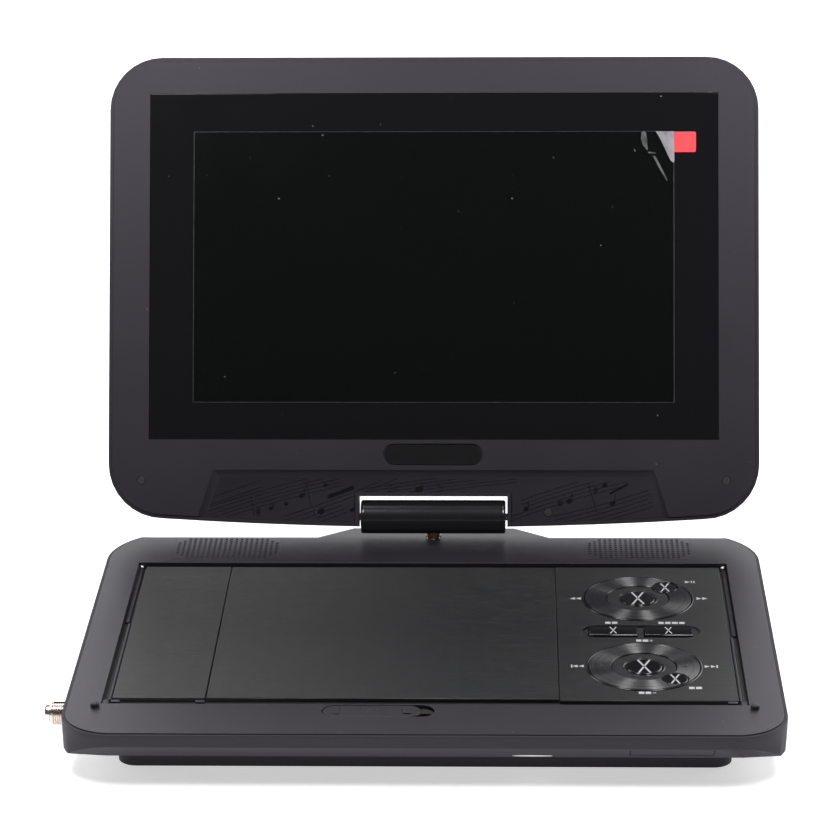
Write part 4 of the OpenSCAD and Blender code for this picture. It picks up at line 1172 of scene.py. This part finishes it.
class PLAYER_OT_stage(bpy.types.Operator):
    """Floor, soft lights and the camera"""

    bl_idname = "player.stage"
    bl_label = "Stage"

    def execute(self, context):
        scene = context.scene
        look = scene.player_stage
        bm = bmesh.new()
        bmesh.ops.create_grid(bm, x_segments=8, y_segments=8, size=4.0)
        mesh = bpy.data.meshes.new("floor")
        bm.to_mesh(mesh)
        bm.free()
        floor = bpy.data.objects.new("floor", mesh)
        scene.collection.objects.link(floor)
        ground = Finish("stage_floor", tuple(look.floor), 0.9, Specular_IOR_Level=0.1)
        ground.set("Emission Color", (1, 1, 1, 1)).set("Emission Strength", 0.55)
        ground.set("Roughness", 0.85 + 0.1 * ground.noise(ground.place(), 3.0))
        mesh.materials.append(ground.material)

        world = bpy.data.worlds.new("studio")
        world.use_nodes = True
        world.node_tree.nodes["Background"].inputs["Color"].default_value = (1, 1, 1, 1)
        world.node_tree.nodes["Background"].inputs["Strength"].default_value = 0.035
        scene.world = world

        aim = (0.0, 0.0, 0.06)
        softbox("near_left_softbox", (-0.20, -0.24, 0.56), (-0.05, 0.1, 0.14), (0.16, 0.22), look.key_power)
        softbox("near_right_softbox", (0.25, -0.24, 0.56), (0.05, 0.1, 0.14), (0.16, 0.22), look.key_power)
        softbox("back_softbox", (0.0, 1.7, 0.95), (0, 0, 0.1), (3.2, 1.6), look.back_power)
        softbox("left_softbox", (-1.0, 0.45, 0.40), aim, (0.9, 0.7), look.side_power)
        softbox("right_softbox", (1.0, 0.45, 0.40), aim, (0.9, 0.7), look.side_power)
        softbox("left_strip", (-0.16, 0.28, 1.0), (-0.16, 0.2, 0), (0.08, 0.5), look.fill_power)
        softbox("right_strip", (0.24, 0.28, 1.0), (0.24, 0.2, 0), (0.08, 0.5), look.fill_power)

        lens = bpy.data.cameras.new("view")
        lens.lens = 145.26
        lens.sensor_width = 36
        lens.sensor_fit = "HORIZONTAL"
        lens.clip_start = 0.05
        lens.clip_end = 50
        eye = bpy.data.objects.new("view", lens)
        # The way the camera looks, and its place from the base's working point
        right = Vector((0.99962, 0.02618, -0.00870)).normalized()
        ahead = Vector((-0.02758, 0.94024, -0.33940)).normalized()
        up = right.cross(ahead).normalized()
        right = ahead.cross(up)
        turn = Matrix((right, up, -ahead)).transposed().to_4x4()
        eye.matrix_world = Matrix.Translation(BASE @ Vector((29.8, -1180.4, 535.1))) @ turn
        scene.collection.objects.link(eye)
        scene.camera = eye
        scene.view_settings.view_transform = "Standard"
        return {"FINISHED"}


class PLAYER_PT_panel(bpy.types.Panel):
    bl_label = "Portable Disc Player"
    bl_space_type = "VIEW_3D"
    bl_region_type = "UI"
    bl_category = "Player"

    def draw(self, context):
        for made in OPERATORS:
            self.layout.operator(made.bl_idname)
        for group in ("player_finishes", "player_sizes", "player_stage"):
            settings = getattr(context.scene, group)
            box = self.layout.box()
            for key in settings.__annotations__:
                box.prop(settings, key)


GROUPS = {"player_finishes": PlayerFinishes, "player_sizes": PlayerSizes, "player_stage": PlayerStage}
OPERATORS = (
    PLAYER_OT_finishes,
    PLAYER_OT_base_covers,
    PLAYER_OT_grilles,
    PLAYER_OT_panels,
    PLAYER_OT_keys,
    PLAYER_OT_marks,
    PLAYER_OT_latch,
    PLAYER_OT_connector,
    PLAYER_OT_small_parts,
    PLAYER_OT_lid,
    PLAYER_OT_score,
    PLAYER_OT_film,
    PLAYER_OT_hinge,
    PLAYER_OT_carried,
    PLAYER_OT_stage,
)


def register():
    for made in (*GROUPS.values(), *OPERATORS, PLAYER_PT_panel):
        bpy.utils.register_class(made)
    for name, group in GROUPS.items():
        setattr(bpy.types.Scene, name, PointerProperty(type=group))


def unregister():
    for name in GROUPS:
        delattr(bpy.types.Scene, name)
    for made in reversed((*GROUPS.values(), *OPERATORS, PLAYER_PT_panel)):
        bpy.utils.unregister_class(made)


def main():
    register()
    for made in OPERATORS:
        group, name = made.bl_idname.split(".")
        getattr(getattr(bpy.ops, group), name)()


if __name__ == "__main__":
    main()
